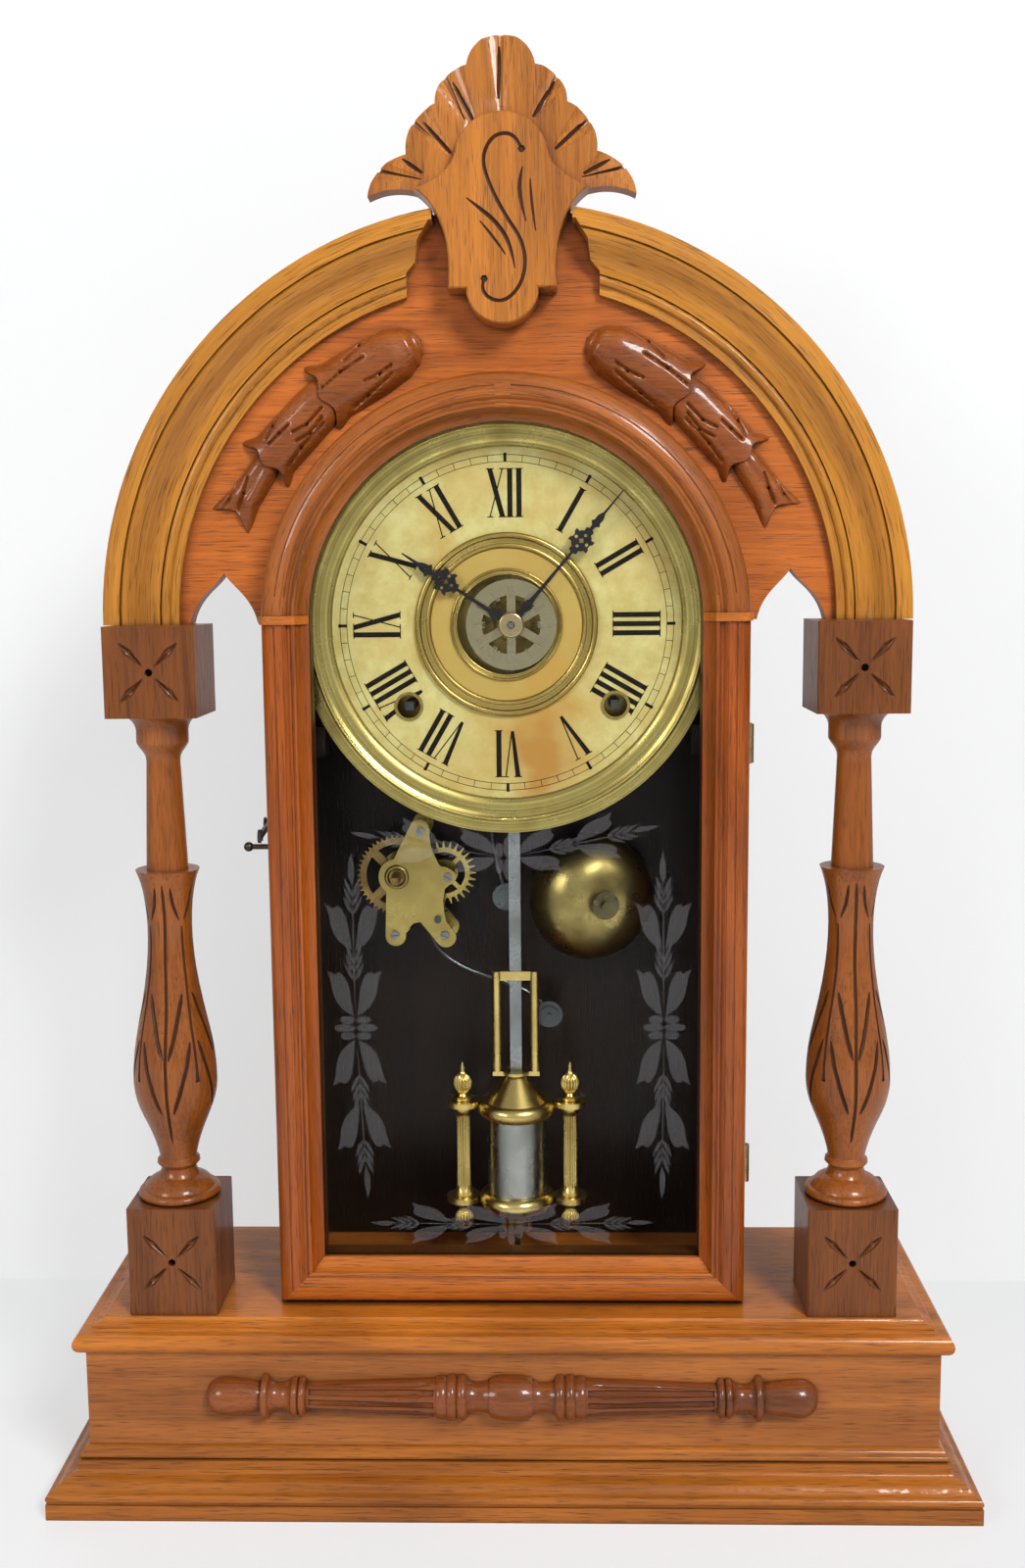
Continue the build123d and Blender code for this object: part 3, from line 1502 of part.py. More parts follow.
with BuildPart() as second_wheel:
    with BuildSketch(front_plane(second_y + wheel_thickness, *second_place)):
        gear_face(second_mesh[0], second_mesh[2], second_turn)
        wheel_crossings(second_mesh, second_hub_share, second_spoke, second_turn)
    extrude(amount=wheel_thickness)
    with BuildSketch(front_plane(second_y, *second_place)):
        gear_face(great_mesh[1], great_mesh[2], great_pinion_turn)
    extrude(amount=pinion_length)
    arbor(second_place, pivot_r, back_plate_y - running_gap, front_plate_y + running_gap)
keep(second_wheel, "second_wheel")

# Centre arbor, which carries the minute hand, and the motion work in front of the front plate.
cannon_gap = 0.6
motion_thickness = 1.0
hour_wheel_lead = 4.4
cannon_y = front_plate_y - cannon_gap
minute_wheel_y = cannon_y - cannon_gap
hour_wheel_y = front_plate_y - hour_wheel_lead
hour_pipe_r = 2.6
hour_hand_y = -5.2
minute_hand_y = -7.4
hand_thickness = 0.7
nut_height = 1.8
nut_r = 5.2
centre_square = 2.0
centre_end = 2.2
cannon_turn_wheel, cannon_turn = facing_gap(minute_mesh, minute_place, centre_place)
hour_turn, minute_pinion_turn = facing_gap(hour_mesh, centre_place, minute_place)
nut_front_y = minute_hand_y - hand_thickness - nut_height

with BuildPart() as centre_arbor:
    arbor(centre_place, arbor_r, back_plate_y - running_gap, nut_front_y + nut_height / 2)
    with BuildSketch(front_plane(second_y + wheel_thickness, *centre_place)):
        gear_face(second_mesh[1], second_mesh[2], centre_pinion_turn)
    extrude(amount=2 * wheel_thickness)
    with BuildSketch(front_plane(cannon_y, *centre_place)):
        gear_face(minute_mesh[1], minute_mesh[2], cannon_turn)
    extrude(amount=cannon_y - minute_wheel_y + motion_thickness)
    with Locations(front_plane(nut_front_y + nut_height / 2, *centre_place)):
        Box(centre_square, centre_square, nut_height / 2 + centre_end,
            align=(Align.CENTER, Align.CENTER, Align.MIN))
keep(centre_arbor, "centre_arbor")

with BuildPart() as minute_wheel:
    with BuildSketch(front_plane(minute_wheel_y, *minute_place)):
        gear_face(minute_mesh[0], minute_mesh[2], cannon_turn_wheel)
        wheel_crossings(minute_mesh, minute_hub_share, small_spoke, cannon_turn_wheel)
    extrude(amount=motion_thickness)
    with BuildSketch(front_plane(minute_wheel_y - motion_thickness, *minute_place)):
        gear_face(hour_mesh[1], hour_mesh[2], minute_pinion_turn)
    extrude(amount=minute_wheel_y - hour_wheel_y)
    arbor(minute_place, pivot_r, front_plate_y + plate_thickness, minute_wheel_y - motion_thickness)
keep(minute_wheel, "minute_wheel")

with BuildPart() as hour_wheel:
    with BuildSketch(front_plane(hour_wheel_y, *centre_place)):
        gear_face(hour_mesh[0], hour_mesh[2], hour_turn)
        wheel_crossings(hour_mesh, hour_hub_share, small_spoke, hour_turn)
    extrude(amount=motion_thickness)
    arbor(centre_place, hour_pipe_r, hour_wheel_y, hour_hand_y - hand_thickness)
    with BuildSketch(front_plane(hour_wheel_y, *centre_place)):
        Circle(arbor_r + running_gap)
    extrude(amount=hour_wheel_y - hour_hand_y + hand_thickness, mode=Mode.SUBTRACT)
keep(hour_wheel, "hour_wheel")

# Hands of blued steel. Each has a tapered shaft, a pierced cross and a concave diamond before its point.
hour_angle = 303.5
minute_angle = 40.5
hour_lengths = (32.0, 41.1, 52.9)
minute_lengths = (44.7, 54.3, 69.6)
hand_boss_r = 4.2
shaft_half = 1.25
neck_half = 0.8
point_half = 0.5
cross_arm = 6.1
cross_arm_half = 0.9
cross_flare = 98.0
cross_body = 6.2
cross_bite_r = 1.5
cross_bite_out = 4.3
cross_window = 3.3
diamond_half = 2.9
diamond_long = 3.6


def hand(lengths, angle, back, bore):
    """One hand, drawn pointing to twelve and turned to its angle."""
    cross, diamond, tip = lengths
    turn = math.radians(angle)
    plane = Plane(origin=(centre_place[0], back, centre_place[1]),
                  x_dir=(math.cos(turn), 0, -math.sin(turn)), z_dir=(0, -1, 0))
    with BuildPart() as piece:
        with BuildSketch(plane):
            Circle(hand_boss_r)
            with BuildLine() as blade:
                Polyline(
                    (-shaft_half, 0),
                    (-neck_half, cross - cross_arm),
                    (-neck_half, diamond),
                    (-point_half / 2, diamond + diamond_long + cross_bite_r),
                    (-point_half, tip),
                    (point_half, tip),
                    (point_half / 2, diamond + diamond_long + cross_bite_r),
                    (neck_half, diamond),
                    (neck_half, cross - cross_arm),
                    (shaft_half, 0),
                    close=True,
                )
            make_face(blade.edges())
            with Locations((0, cross)):
                Rectangle(cross_body, cross_body)
                for quarter in range(4):
                    with Locations(Rotation(0, 0, 90 * quarter)):
                        Trapezoid(2 * cross_arm_half, cross_arm, cross_flare,
                                  align=(Align.CENTER, Align.MIN))
                with PolarLocations(cross_bite_out, 4, start_angle=45):
                    Circle(cross_bite_r, mode=Mode.SUBTRACT)
                Rectangle(cross_window, cross_window, rotation=45, mode=Mode.SUBTRACT)
            with BuildLine() as concave:
                corners = [(0, diamond_long), (diamond_half, 0), (0, -diamond_long), (-diamond_half, 0)]
                for here, there in zip(corners, corners[1:] + corners[:1]):
                    middle = ((here[0] + there[0]) / 3, (here[1] + there[1]) / 3)
                    ThreePointArc(
                        (here[0], diamond + here[1]),
                        (middle[0], diamond + middle[1]),
                        (there[0], diamond + there[1]),
                    )
            make_face(concave.edges())
            Circle(bore, mode=Mode.SUBTRACT)
        extrude(amount=hand_thickness)
    return piece


hour_hand = hand(hour_lengths, hour_angle, hour_hand_y, hour_pipe_r + glue_gap)
keep(hour_hand, "hour_hand")
minute_hand = hand(minute_lengths, minute_angle, minute_hand_y, arbor_r + glue_gap)
keep(minute_hand, "minute_hand")

with BuildPart() as hand_nut:
    with BuildSketch(front_plane(minute_hand_y - hand_thickness, *centre_place)):
        Circle(nut_r)
        Circle(arbor_r + glue_gap, mode=Mode.SUBTRACT)
    extrude(amount=nut_height)
    fillet(hand_nut.faces().sort_by(Axis.Y)[0].edges().sort_by(SortBy.LENGTH)[-1], nut_height / 2)
keep(hand_nut, "hand_nut")

alarm_disc_r = 18.5
alarm_disc_inner_r = 12.0
alarm_disc_hub_r = 5.4
alarm_disc_y = -3.9
alarm_disc_thickness = 0.8
alarm_disc_spoke = 3.6
alarm_disc_spoke_count = 6
with BuildPart() as alarm_disc:
    with BuildSketch(front_plane(alarm_disc_y, *centre_place)):
        Circle(alarm_disc_r)
        crossings(alarm_disc_inner_r, alarm_disc_hub_r, alarm_disc_spoke_count, alarm_disc_spoke, 90)
        Circle(hour_pipe_r + running_gap, mode=Mode.SUBTRACT)
    extrude(amount=alarm_disc_thickness)
keep(alarm_disc, "alarm_disc")

# Escapement, in front of the front plate: escape wheel, and the verge with its crutch, on the swing pin.
escape_r = 13.0
escape_root_r = 10.8
escape_tooth_count = 32
escape_root_share = 0.5
escape_tip_share = 0.1
escape_lead = 1.3
escape_thickness = 1.0
escape_rim_r = 9.3
escape_hub_r = 3.0
pallet_r = 14.4
pallet_thickness = 0.9
pallet_half_angle = 40.0
collar_r = 2.2
verge_lead = 4.8
escape_y = front_plate_y - escape_lead
verge_back_y = front_plate_y - motion_gap - glue_gap
verge_front_y = front_plate_y - verge_lead
crutch_width = 1.4
crutch_thickness = 1.0
crutch_length = 42.0
rod_width = 5.0
rod_thickness = 1.0
rod_lead = 5.5
rod_y = front_plate_y - rod_lead
fork_gap = 0.4
fork_wire = 0.9

with BuildPart() as escape_wheel:
    with BuildSketch(front_plane(escape_y, *escape_place)):
        with BuildLine() as teeth_line:
            Polyline(
                *tooth_outline(escape_tooth_count, escape_root_r, escape_r, escape_root_share,
                               escape_tip_share, 90),
                close=True,
            )
        make_face(teeth_line.edges())
        crossings(escape_rim_r, escape_hub_r, wheel_spoke_count, small_spoke)
    extrude(amount=escape_thickness)
    arbor(escape_place, pivot_r, back_plate_y - running_gap, escape_y - 2 * escape_thickness)
keep(escape_wheel, "escape_wheel")

swing_place = (movement_x, swing_z)
with BuildPart() as verge:
    arbor(swing_place, collar_r, verge_back_y, verge_front_y)
    with BuildSketch(front_plane(escape_y, *escape_place)):
        Circle(pallet_r + pallet_thickness)
        Circle(pallet_r, mode=Mode.SUBTRACT)
        with BuildLine() as wedge:
            far = 2 * pallet_r
            reach = far * math.sin(math.radians(pallet_half_angle))
            lift = far * math.cos(math.radians(pallet_half_angle))
            Polyline((0, 0), (reach, lift), (-reach, lift), close=True)
        make_face(wedge.edges(), mode=Mode.INTERSECT)
        with Locations((0, pallet_r + pallet_thickness / 2)):
            Rectangle(crutch_width, swing_z - escape_place[1] - pallet_r - pallet_thickness / 2,
                      align=(Align.CENTER, Align.MIN))
    extrude(amount=escape_thickness)
    with BuildSketch(front_plane(verge_front_y + crutch_thickness, *swing_place)):
        Rectangle(crutch_width, crutch_length, align=(Align.CENTER, Align.MAX))
    extrude(amount=crutch_thickness)
    fork_front_y = rod_y - rod_thickness - fork_gap - fork_wire
    fork_depth = verge_front_y + crutch_thickness - fork_front_y
    with Locations((movement_x, fork_front_y, swing_z - crutch_length)):
        Box(rod_width + 2 * fork_gap + 2 * fork_wire, fork_depth, crutch_width,
            align=(Align.CENTER, Align.MIN, Align.CENTER))
        with Locations((0, fork_wire, 0)):
            Box(rod_width + 2 * fork_gap, fork_depth - fork_wire - crutch_thickness, 2 * crutch_width,
                align=(Align.CENTER, Align.MIN, Align.CENTER), mode=Mode.SUBTRACT)
    with Locations(front_plane(front_plate_y, *swing_place)):
        Cylinder(pivot_r + running_gap, front_plate_y - fork_front_y,
                 align=(Align.CENTER, Align.CENTER, Align.MIN), mode=Mode.SUBTRACT)
keep(verge, "verge")

# Pendulum: a flat rod with a round threaded end. The bob slides on it and rests on the rating nut.
rod_eye_r = 3.0
rod_flat_end_z = 122.0
rod_end_z = 87.0
rod_thread_r = 1.4
bob_bottom_z = 101.0
nut_disc_r = 6.4
rating_nut_height = 5.0
rod_middle_y = rod_y - rod_thickness / 2

with BuildPart() as pendulum:
    with BuildSketch(front_plane(rod_y, *swing_place)):
        Circle(rod_eye_r)
        Rectangle(rod_width, swing_z - rod_flat_end_z, align=(Align.CENTER, Align.MAX))
        Circle(pivot_r + running_gap, mode=Mode.SUBTRACT)
    extrude(amount=rod_thickness)
    with Locations((movement_x, rod_middle_y, rod_end_z)):
        Cylinder(rod_thread_r, rod_flat_end_z - rod_end_z + 2 * rod_thread_r,
                 align=(Align.CENTER, Align.CENTER, Align.MIN))
keep(pendulum, "pendulum_rod")

# Bob: a silvered cylinder between turned brass caps, with a turned column on each side and two tubes above.
bob_cap_r = 17.0
bob_foot_r = 16.5
bob_cylinder_r = 12.7
bob_wall = 0.8
bob_foot_z = 107.2
bob_cylinder_z = 114.2
bob_cylinder_top_z = 148.6
bob_cap_top_z = 155.4
bob_cone_r = 15.5
bob_cone_top_r = 4.0
bob_cone_top_z = 166.9
bob_neck_z = 168.2
tube_r = 1.95
tube_x = 8.2
tube_top_z = 212.4
side_column_x = 23.4
side_column_r = 3.3
washer_r = 7.4
washer_thickness = 2.4
washer_low_z = 109.5
washer_high_z = 152.8
finial_r = 4.4
finial_top_z = 172.0
finial_low_z = 96.6

with BuildPart() as bob_upper:
    with BuildSketch(front_plane(rod_middle_y, movement_x)):
        with BuildLine():
            Line((0, bob_cylinder_top_z), (bob_cap_r - tube_r, bob_cylinder_top_z))
            ThreePointArc(
                (bob_cap_r - tube_r, bob_cylinder_top_z),
                (bob_cap_r, (bob_cylinder_top_z + bob_cap_top_z) / 2),
                (bob_cap_r - tube_r, bob_cap_top_z),
            )
            Polyline(
                (bob_cap_r - tube_r, bob_cap_top_z),
                (bob_cone_r - tube_r, bob_cap_top_z),
                (bob_cone_top_r, bob_cone_top_z),
                (bob_cone_top_r + tube_r, bob_cone_top_z),
                (bob_cone_top_r + tube_r, bob_neck_z),
                (0, bob_neck_z),
                (0, bob_cylinder_top_z),
            )
        make_face()
    revolve(axis=Axis((movement_x, rod_middle_y, 0), (0, 0, 1)))
    with Locations(*[(movement_x + side * side_column_x, rod_middle_y, washer_high_z) for side in (-1, 1)]):
        Cylinder(washer_r, washer_thickness, align=(Align.CENTER, Align.CENTER, Align.MIN))
    with Locations((movement_x, rod_middle_y, bob_neck_z)):
        Box(2 * (tube_x + tube_r), 2 * tube_r, tube_r, align=(Align.CENTER, Align.CENTER, Align.MAX))
    with Locations((movement_x, rod_middle_y, tube_top_z)):
        Box(2 * tube_x, tube_r, 2 * tube_r, align=(Align.CENTER, Align.CENTER, Align.MAX))
    with Locations(*[(movement_x + side * tube_x, rod_middle_y, bob_neck_z) for side in (-1, 1)]):
        Cylinder(tube_r, tube_top_z - bob_neck_z, align=(Align.CENTER, Align.CENTER, Align.MIN))
    with Locations((movement_x, rod_middle_y, bob_foot_z)):
        Box(rod_width + 2 * running_gap, rod_thickness + 2 * running_gap, tube_top_z,
            align=(Align.CENTER, Align.CENTER, Align.MIN), mode=Mode.SUBTRACT)

with BuildPart() as bob_lower:
    with BuildSketch(front_plane(rod_middle_y, movement_x)):
        with BuildLine():
            Line((0, bob_cylinder_z), (bob_foot_r - tube_r, bob_cylinder_z))
            ThreePointArc(
                (bob_foot_r - tube_r, bob_cylinder_z),
                (bob_foot_r, (bob_cylinder_z + bob_foot_z) / 2),
                (bob_foot_r - tube_r, bob_foot_z),
            )
            Polyline(
                (bob_foot_r - tube_r, bob_foot_z),
                (bob_cone_top_r + tube_r, bob_foot_z),
                (bob_cone_top_r, bob_bottom_z),
                (0, bob_bottom_z),
                (0, bob_cylinder_z),
            )
        make_face()
    revolve(axis=Axis((movement_x, rod_middle_y, 0), (0, 0, 1)))
    with Locations(*[(movement_x + side * side_column_x, rod_middle_y, washer_low_z) for side in (-1, 1)]):
        Cylinder(washer_r, washer_thickness, align=(Align.CENTER, Align.CENTER, Align.MIN))
    with Locations((movement_x, rod_middle_y, bob_bottom_z)):
        Cylinder(rod_thread_r + running_gap, bob_cylinder_z,
                 align=(Align.CENTER, Align.CENTER, Align.MIN), mode=Mode.SUBTRACT)
keep_set([bob_upper.part, bob_lower.part], "bob_frame")

with BuildPart() as bob_cylinder:
    with Locations((movement_x, rod_middle_y, bob_cylinder_z)):
        Cylinder(bob_cylinder_r, bob_cylinder_top_z - bob_cylinder_z,
                 align=(Align.CENTER, Align.CENTER, Align.MIN))
        Cylinder(bob_cylinder_r - bob_wall, bob_cylinder_top_z - bob_cylinder_z,
                 align=(Align.CENTER, Align.CENTER, Align.MIN), mode=Mode.SUBTRACT)
keep(bob_cylinder, "bob_cylinder")


def finial_outline(seat_z, tip_z):
    """A finial from its seat to its tip: collar, neck and ball."""
    sign = 1 if tip_z > seat_z else -1
    ball_z = tip_z - sign * finial_r
    with BuildLine() as line:
        Polyline(
            (0, seat_z),
            (finial_r, seat_z),
            (finial_r, seat_z + sign * bob_wall),
            (finial_r / 2, seat_z + sign * finial_r / 2),
            (finial_r / 2, ball_z - sign * finial_r * math.cos(math.radians(30))),
        )
        ThreePointArc(
            (finial_r / 2, ball_z - sign * finial_r * math.cos(math.radians(30))),
            (finial_r, ball_z),
            (0, tip_z),
        )
        Line((0, tip_z), (0, seat_z))
    return line.line


with BuildPart() as side_columns:
    for side in (-1, 1):
        x = movement_x + side * side_column_x
        with BuildSketch(front_plane(rod_middle_y, x)):
            make_face(finial_outline(washer_high_z + washer_thickness, finial_top_z))
            make_face(finial_outline(washer_low_z, finial_low_z))
            with BuildLine() as shank:
                low = washer_low_z + washer_thickness
                Polyline(
                    (0, low),
                    (finial_r, low),
                    (finial_r, low + tube_r),
                    (side_column_r, low + 2 * tube_r),
                    (side_column_r, washer_high_z - 2 * tube_r),
                    (finial_r, washer_high_z - tube_r),
                    (finial_r, washer_high_z),
                    (0, washer_high_z),
                    close=True,
                )
            make_face(shank.edges())
        revolve(axis=Axis((x, rod_middle_y, 0), (0, 0, 1)))
keep(side_columns, "bob_side_columns")

with BuildPart() as rating_nut:
    with Locations((movement_x, rod_middle_y, bob_bottom_z)):
        Cylinder(nut_disc_r, rating_nut_height, align=(Align.CENTER, Align.CENTER, Align.MAX))
        Cylinder(rod_thread_r + running_gap, rating_nut_height,
                 align=(Align.CENTER, Align.CENTER, Align.MAX), mode=Mode.SUBTRACT)
    chamfer(rating_nut.edges().filter_by(GeomType.CIRCLE).sort_by(SortBy.RADIUS)[-2:], block_arris)
keep(rating_nut, "rating_nut")

# Alarm movement, on the back board left of the pendulum: star plates, main wheel, escape wheel and hammer.
# Places count from the middle of the case, as (to the right, below the dial's centre).
alarm_main_out = -50.0
alarm_main_drop = 110.6
alarm_lobe_drops = [(-39.7, 89.8), (-50.9, 137.0), (-28.8, 137.7)]
alarm_hammer_out = -32.2
alarm_hammer_drop = 129.6
alarm_main_place = (alarm_main_out, dial_z - alarm_main_drop)
alarm_lobes = [(out, dial_z - drop) for out, drop in alarm_lobe_drops]
alarm_hammer_place = (alarm_hammer_out, dial_z - alarm_hammer_drop)
alarm_escape_place = (alarm_main_place[0] + mesh_distance(alarm_mesh), alarm_main_place[1])
alarm_plate_lead = 23.0
alarm_wheel_lead = 17.8
alarm_escape_lead = 13.0
alarm_square_lead = 34.0
alarm_plate = 1.2
alarm_arm_width = 9.0
alarm_boss_r = 8.0
alarm_pillar_r = 2.0
alarm_arbor_r = 2.2
alarm_square = 3.2
alarm_escape_r = 14.3
alarm_escape_root_r = 11.4
alarm_escape_tooth_count = 28
alarm_plate_y = back_board_y - alarm_plate_lead
alarm_square_end_y = back_board_y - alarm_square_lead
alarm_wheel_y = back_board_y - alarm_wheel_lead
alarm_escape_y = back_board_y - alarm_escape_lead
alarm_main_turn, alarm_pinion_turn = facing_gap(alarm_mesh, alarm_main_place, alarm_escape_place)

with BuildPart() as alarm_plate_front:
    with BuildSketch(front_plane(alarm_plate_y + alarm_plate)):
        with Locations(alarm_main_place):
            Circle(alarm_boss_r)
        for lobe in alarm_lobes + [alarm_escape_place]:
            middle = ((alarm_main_place[0] + lobe[0]) / 2, (alarm_main_place[1] + lobe[1]) / 2)
            with Locations(Location((middle[0], middle[1], 0), (0, 0, place_angle(alarm_main_place, lobe)))):
                SlotOverall(math.dist(alarm_main_place, lobe) + alarm_arm_width, alarm_arm_width)
    extrude(amount=alarm_plate)

with BuildPart() as alarm_holes:
    for place, radius in (
        (alarm_main_place, alarm_arbor_r),
        (alarm_escape_place, pivot_r),
        (alarm_hammer_place, arbor_r),
    ):
        arbor(place, radius + running_gap, back_board_y, alarm_plate_y)

with BuildPart() as alarm_front:
    add(alarm_plate_front)
    add(alarm_holes, mode=Mode.SUBTRACT)
with BuildPart() as alarm_back:
    add(alarm_plate_front.part.moved(Location((0, back_board_y - alarm_plate - alarm_plate_y, 0))))
    add(alarm_holes, mode=Mode.SUBTRACT)
with BuildPart() as alarm_pillars:
    for place in alarm_lobes:
        arbor(place, alarm_pillar_r, back_board_y - alarm_plate, alarm_plate_y + alarm_plate)
keep_set([alarm_front.part, alarm_back.part, alarm_pillars.part], "alarm_plates")

with BuildPart() as alarm_main:
    with BuildSketch(front_plane(alarm_wheel_y, *alarm_main_place)):
        gear_face(alarm_mesh[0], alarm_mesh[2], alarm_main_turn)
        wheel_crossings(alarm_mesh, alarm_hub_share, alarm_wheel_spoke)
    extrude(amount=alarm_plate)
    arbor(alarm_main_place, alarm_arbor_r, back_board_y - running_gap, alarm_plate_y - overrun)
    with Locations(front_plane(alarm_plate_y - overrun, *alarm_main_place)):
        Box(alarm_square, alarm_square, alarm_plate_y - overrun - alarm_square_end_y,
            align=(Align.CENTER, Align.CENTER, Align.MIN))
keep(alarm_main, "alarm_main_wheel")

with BuildPart() as alarm_escape:
    with BuildSketch(front_plane(alarm_escape_y, *alarm_escape_place)):
        with BuildLine() as teeth_line:
            Polyline(
                *tooth_outline(alarm_escape_tooth_count, alarm_escape_root_r, alarm_escape_r,
                               escape_root_share, escape_tip_share, 90),
                close=True,
            )
        make_face(teeth_line.edges())
        crossings(escape_rim_r, 2 * escape_hub_r, wheel_spoke_count, small_spoke)
    extrude(amount=escape_thickness)
    with BuildSketch(front_plane(alarm_escape_y - escape_thickness, *alarm_escape_place)):
        gear_face(alarm_mesh[1], alarm_mesh[2], alarm_pinion_turn)
    extrude(amount=alarm_escape_y - escape_thickness - alarm_plate_y - 2 * alarm_plate)
    arbor(alarm_escape_place, pivot_r, back_board_y - running_gap, alarm_plate_y + running_gap)
keep(alarm_escape, "alarm_escape_wheel")

# Hammers: a turned head on a bent wire, the wire fixed in an arbor. A wire's bends and head count from the
# middle of the case and down from the dial's centre, in the order of the wire.
hammer_head_r = 5.9
hammer_head = 6.0
hammer_step = 1.0
hammer_wire_r = 0.9
alarm_wire_drops = [(-35.2, 138.0), (-31.0, 145.6), (-8.7, 157.5), (16.5, 173.6)]
alarm_head_lead = 14.0
strike_wire_drops = [(-9.0, 77.6), (-2.1, 119.3)]
strike_head_lead = 19.0
alarm_pallet_r = 17.0
alarm_pallet_half_angle = 12.0


def hammer(pivot, radius, back, front, head_y, wire_drops):
    """A hammer: its arbor from back to front, its wire to the head and its stepped head."""
    wire_y = head_y - hammer_head / 2
    path = [pivot] + [(out, dial_z - drop) for out, drop in wire_drops]
    head = path[-1]
    with BuildPart() as piece:
        arbor(pivot, radius, back, front)
        with BuildLine() as route:
            Spline(*[(x, wire_y, z) for x, z in path])
        with BuildSketch(Plane(origin=route.line @ 0, z_dir=route.line % 0)):
            Circle(hammer_wire_r)
        sweep(path=route.line)
        arbor(head, hammer_head_r, head_y, head_y - hammer_head)
        arbor(head, hammer_head_r - 2 * hammer_step, head_y, head_y - hammer_head - hammer_step)
        arbor(head, hammer_step, head_y, head_y - hammer_head - 2 * hammer_step)
    return piece


with BuildPart() as alarm_hammer:
    add(hammer(alarm_hammer_place, arbor_r, back_board_y - running_gap, alarm_plate_y - overrun,
               back_board_y - alarm_head_lead, alarm_wire_drops))
    with BuildSketch(front_plane(alarm_escape_y, *alarm_escape_place)):
        Circle(alarm_pallet_r + pallet_thickness)
        Circle(alarm_pallet_r, mode=Mode.SUBTRACT)
        with BuildLine() as wedge:
            here = place_angle(alarm_escape_place, alarm_hammer_place)
            first = math.radians(here - alarm_pallet_half_angle)
            last = math.radians(here + alarm_pallet_half_angle)
            far = 2 * alarm_pallet_r
            Polyline((0, 0), (far * math.cos(first), far * math.sin(first)),
                     (far * math.cos(last), far * math.sin(last)), close=True)
        make_face(wedge.edges(), mode=Mode.INTERSECT)
    extrude(amount=escape_thickness)
keep(alarm_hammer, "alarm_hammer")

strike_hammer = hammer(strike_pivot, pivot_r, back_plate_y - running_gap, front_plate_y + running_gap,
                       back_board_y - strike_head_lead, strike_wire_drops)
keep(strike_hammer, "strike_hammer")

# Bell: an open dome of bell metal on a post, leaning to the right, held by a nut.
bell_x = 35.6
bell_lead = 15.0
bell_drop = 121.2
bell_place = (bell_x, back_board_y - bell_lead, dial_z - bell_drop)
bell_r = 28.5
bell_height = 18.0
bell_wall = 1.6
bell_lean = 15.0
bell_shoulder_r = 20.0
bell_shoulder_share = 0.8
bell_flat_r = 9.0
post_r = 2.2
post_foot_r = 8.0
post_foot = 3.0
post_nut_r = 6.0
post_nut = 3.6
bell_plane = Plane(
    origin=bell_place,
    x_dir=(math.cos(math.radians(bell_lean)), math.sin(math.radians(bell_lean)), 0),
    z_dir=(math.sin(math.radians(bell_lean)), -math.cos(math.radians(bell_lean)), 0),
)


def bell_curve(shrink):
    """Half of the bell's outline, shrunk towards the inside."""
    height = bell_height - shrink
    with BuildLine() as line:
        Spline(
            (bell_r - shrink, 0),
            (bell_shoulder_r - shrink / 2, height * bell_shoulder_share),
            (bell_flat_r, height),
            tangents=[(-0.2, 1), (-1, 0)],
        )
    return line.line


with BuildPart() as bell:
    with BuildSketch(Plane.XZ):
        with BuildLine():
            add(bell_curve(0))
            Line((bell_flat_r, bell_height), (post_r + glue_gap, bell_height))
            Line((post_r + glue_gap, bell_height), (post_r + glue_gap, bell_height - bell_wall))
            Line((post_r + glue_gap, bell_height - bell_wall), (bell_flat_r, bell_height - bell_wall))
            add(bell_curve(bell_wall))
            Line((bell_r - bell_wall, 0), (bell_r, 0))
        make_face()
    revolve(axis=Axis.Z)
keep_set([bell.part.moved(bell_plane.location)], "bell")

post_length = (back_board_y - post_foot / 2 - bell_place[1]) / math.cos(math.radians(bell_lean))
foot_x = bell_place[0] - (back_board_y - bell_place[1]) * math.tan(math.radians(bell_lean))
with BuildPart() as post_straight:
    with Locations((0, 0, -post_length)):
        Cylinder(post_r, post_length + bell_height + post_nut + post_nut / 2,
                 align=(Align.CENTER, Align.CENTER, Align.MIN))
    with Locations((0, 0, bell_height)):
        Cylinder(post_nut_r, post_nut, align=(Align.CENTER, Align.CENTER, Align.MIN))
    with Locations((0, 0, bell_height - bell_wall)):
        Cylinder(post_nut_r, post_nut, align=(Align.CENTER, Align.CENTER, Align.MAX))
with BuildPart() as bell_post:
    add(post_straight.part.moved(bell_plane.location))
    arbor((foot_x, bell_place[2]), post_foot_r, back_board_y, back_board_y - post_foot)
keep(bell_post, "bell_post")
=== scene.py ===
import math

import bpy
from mathutils import Matrix, Vector


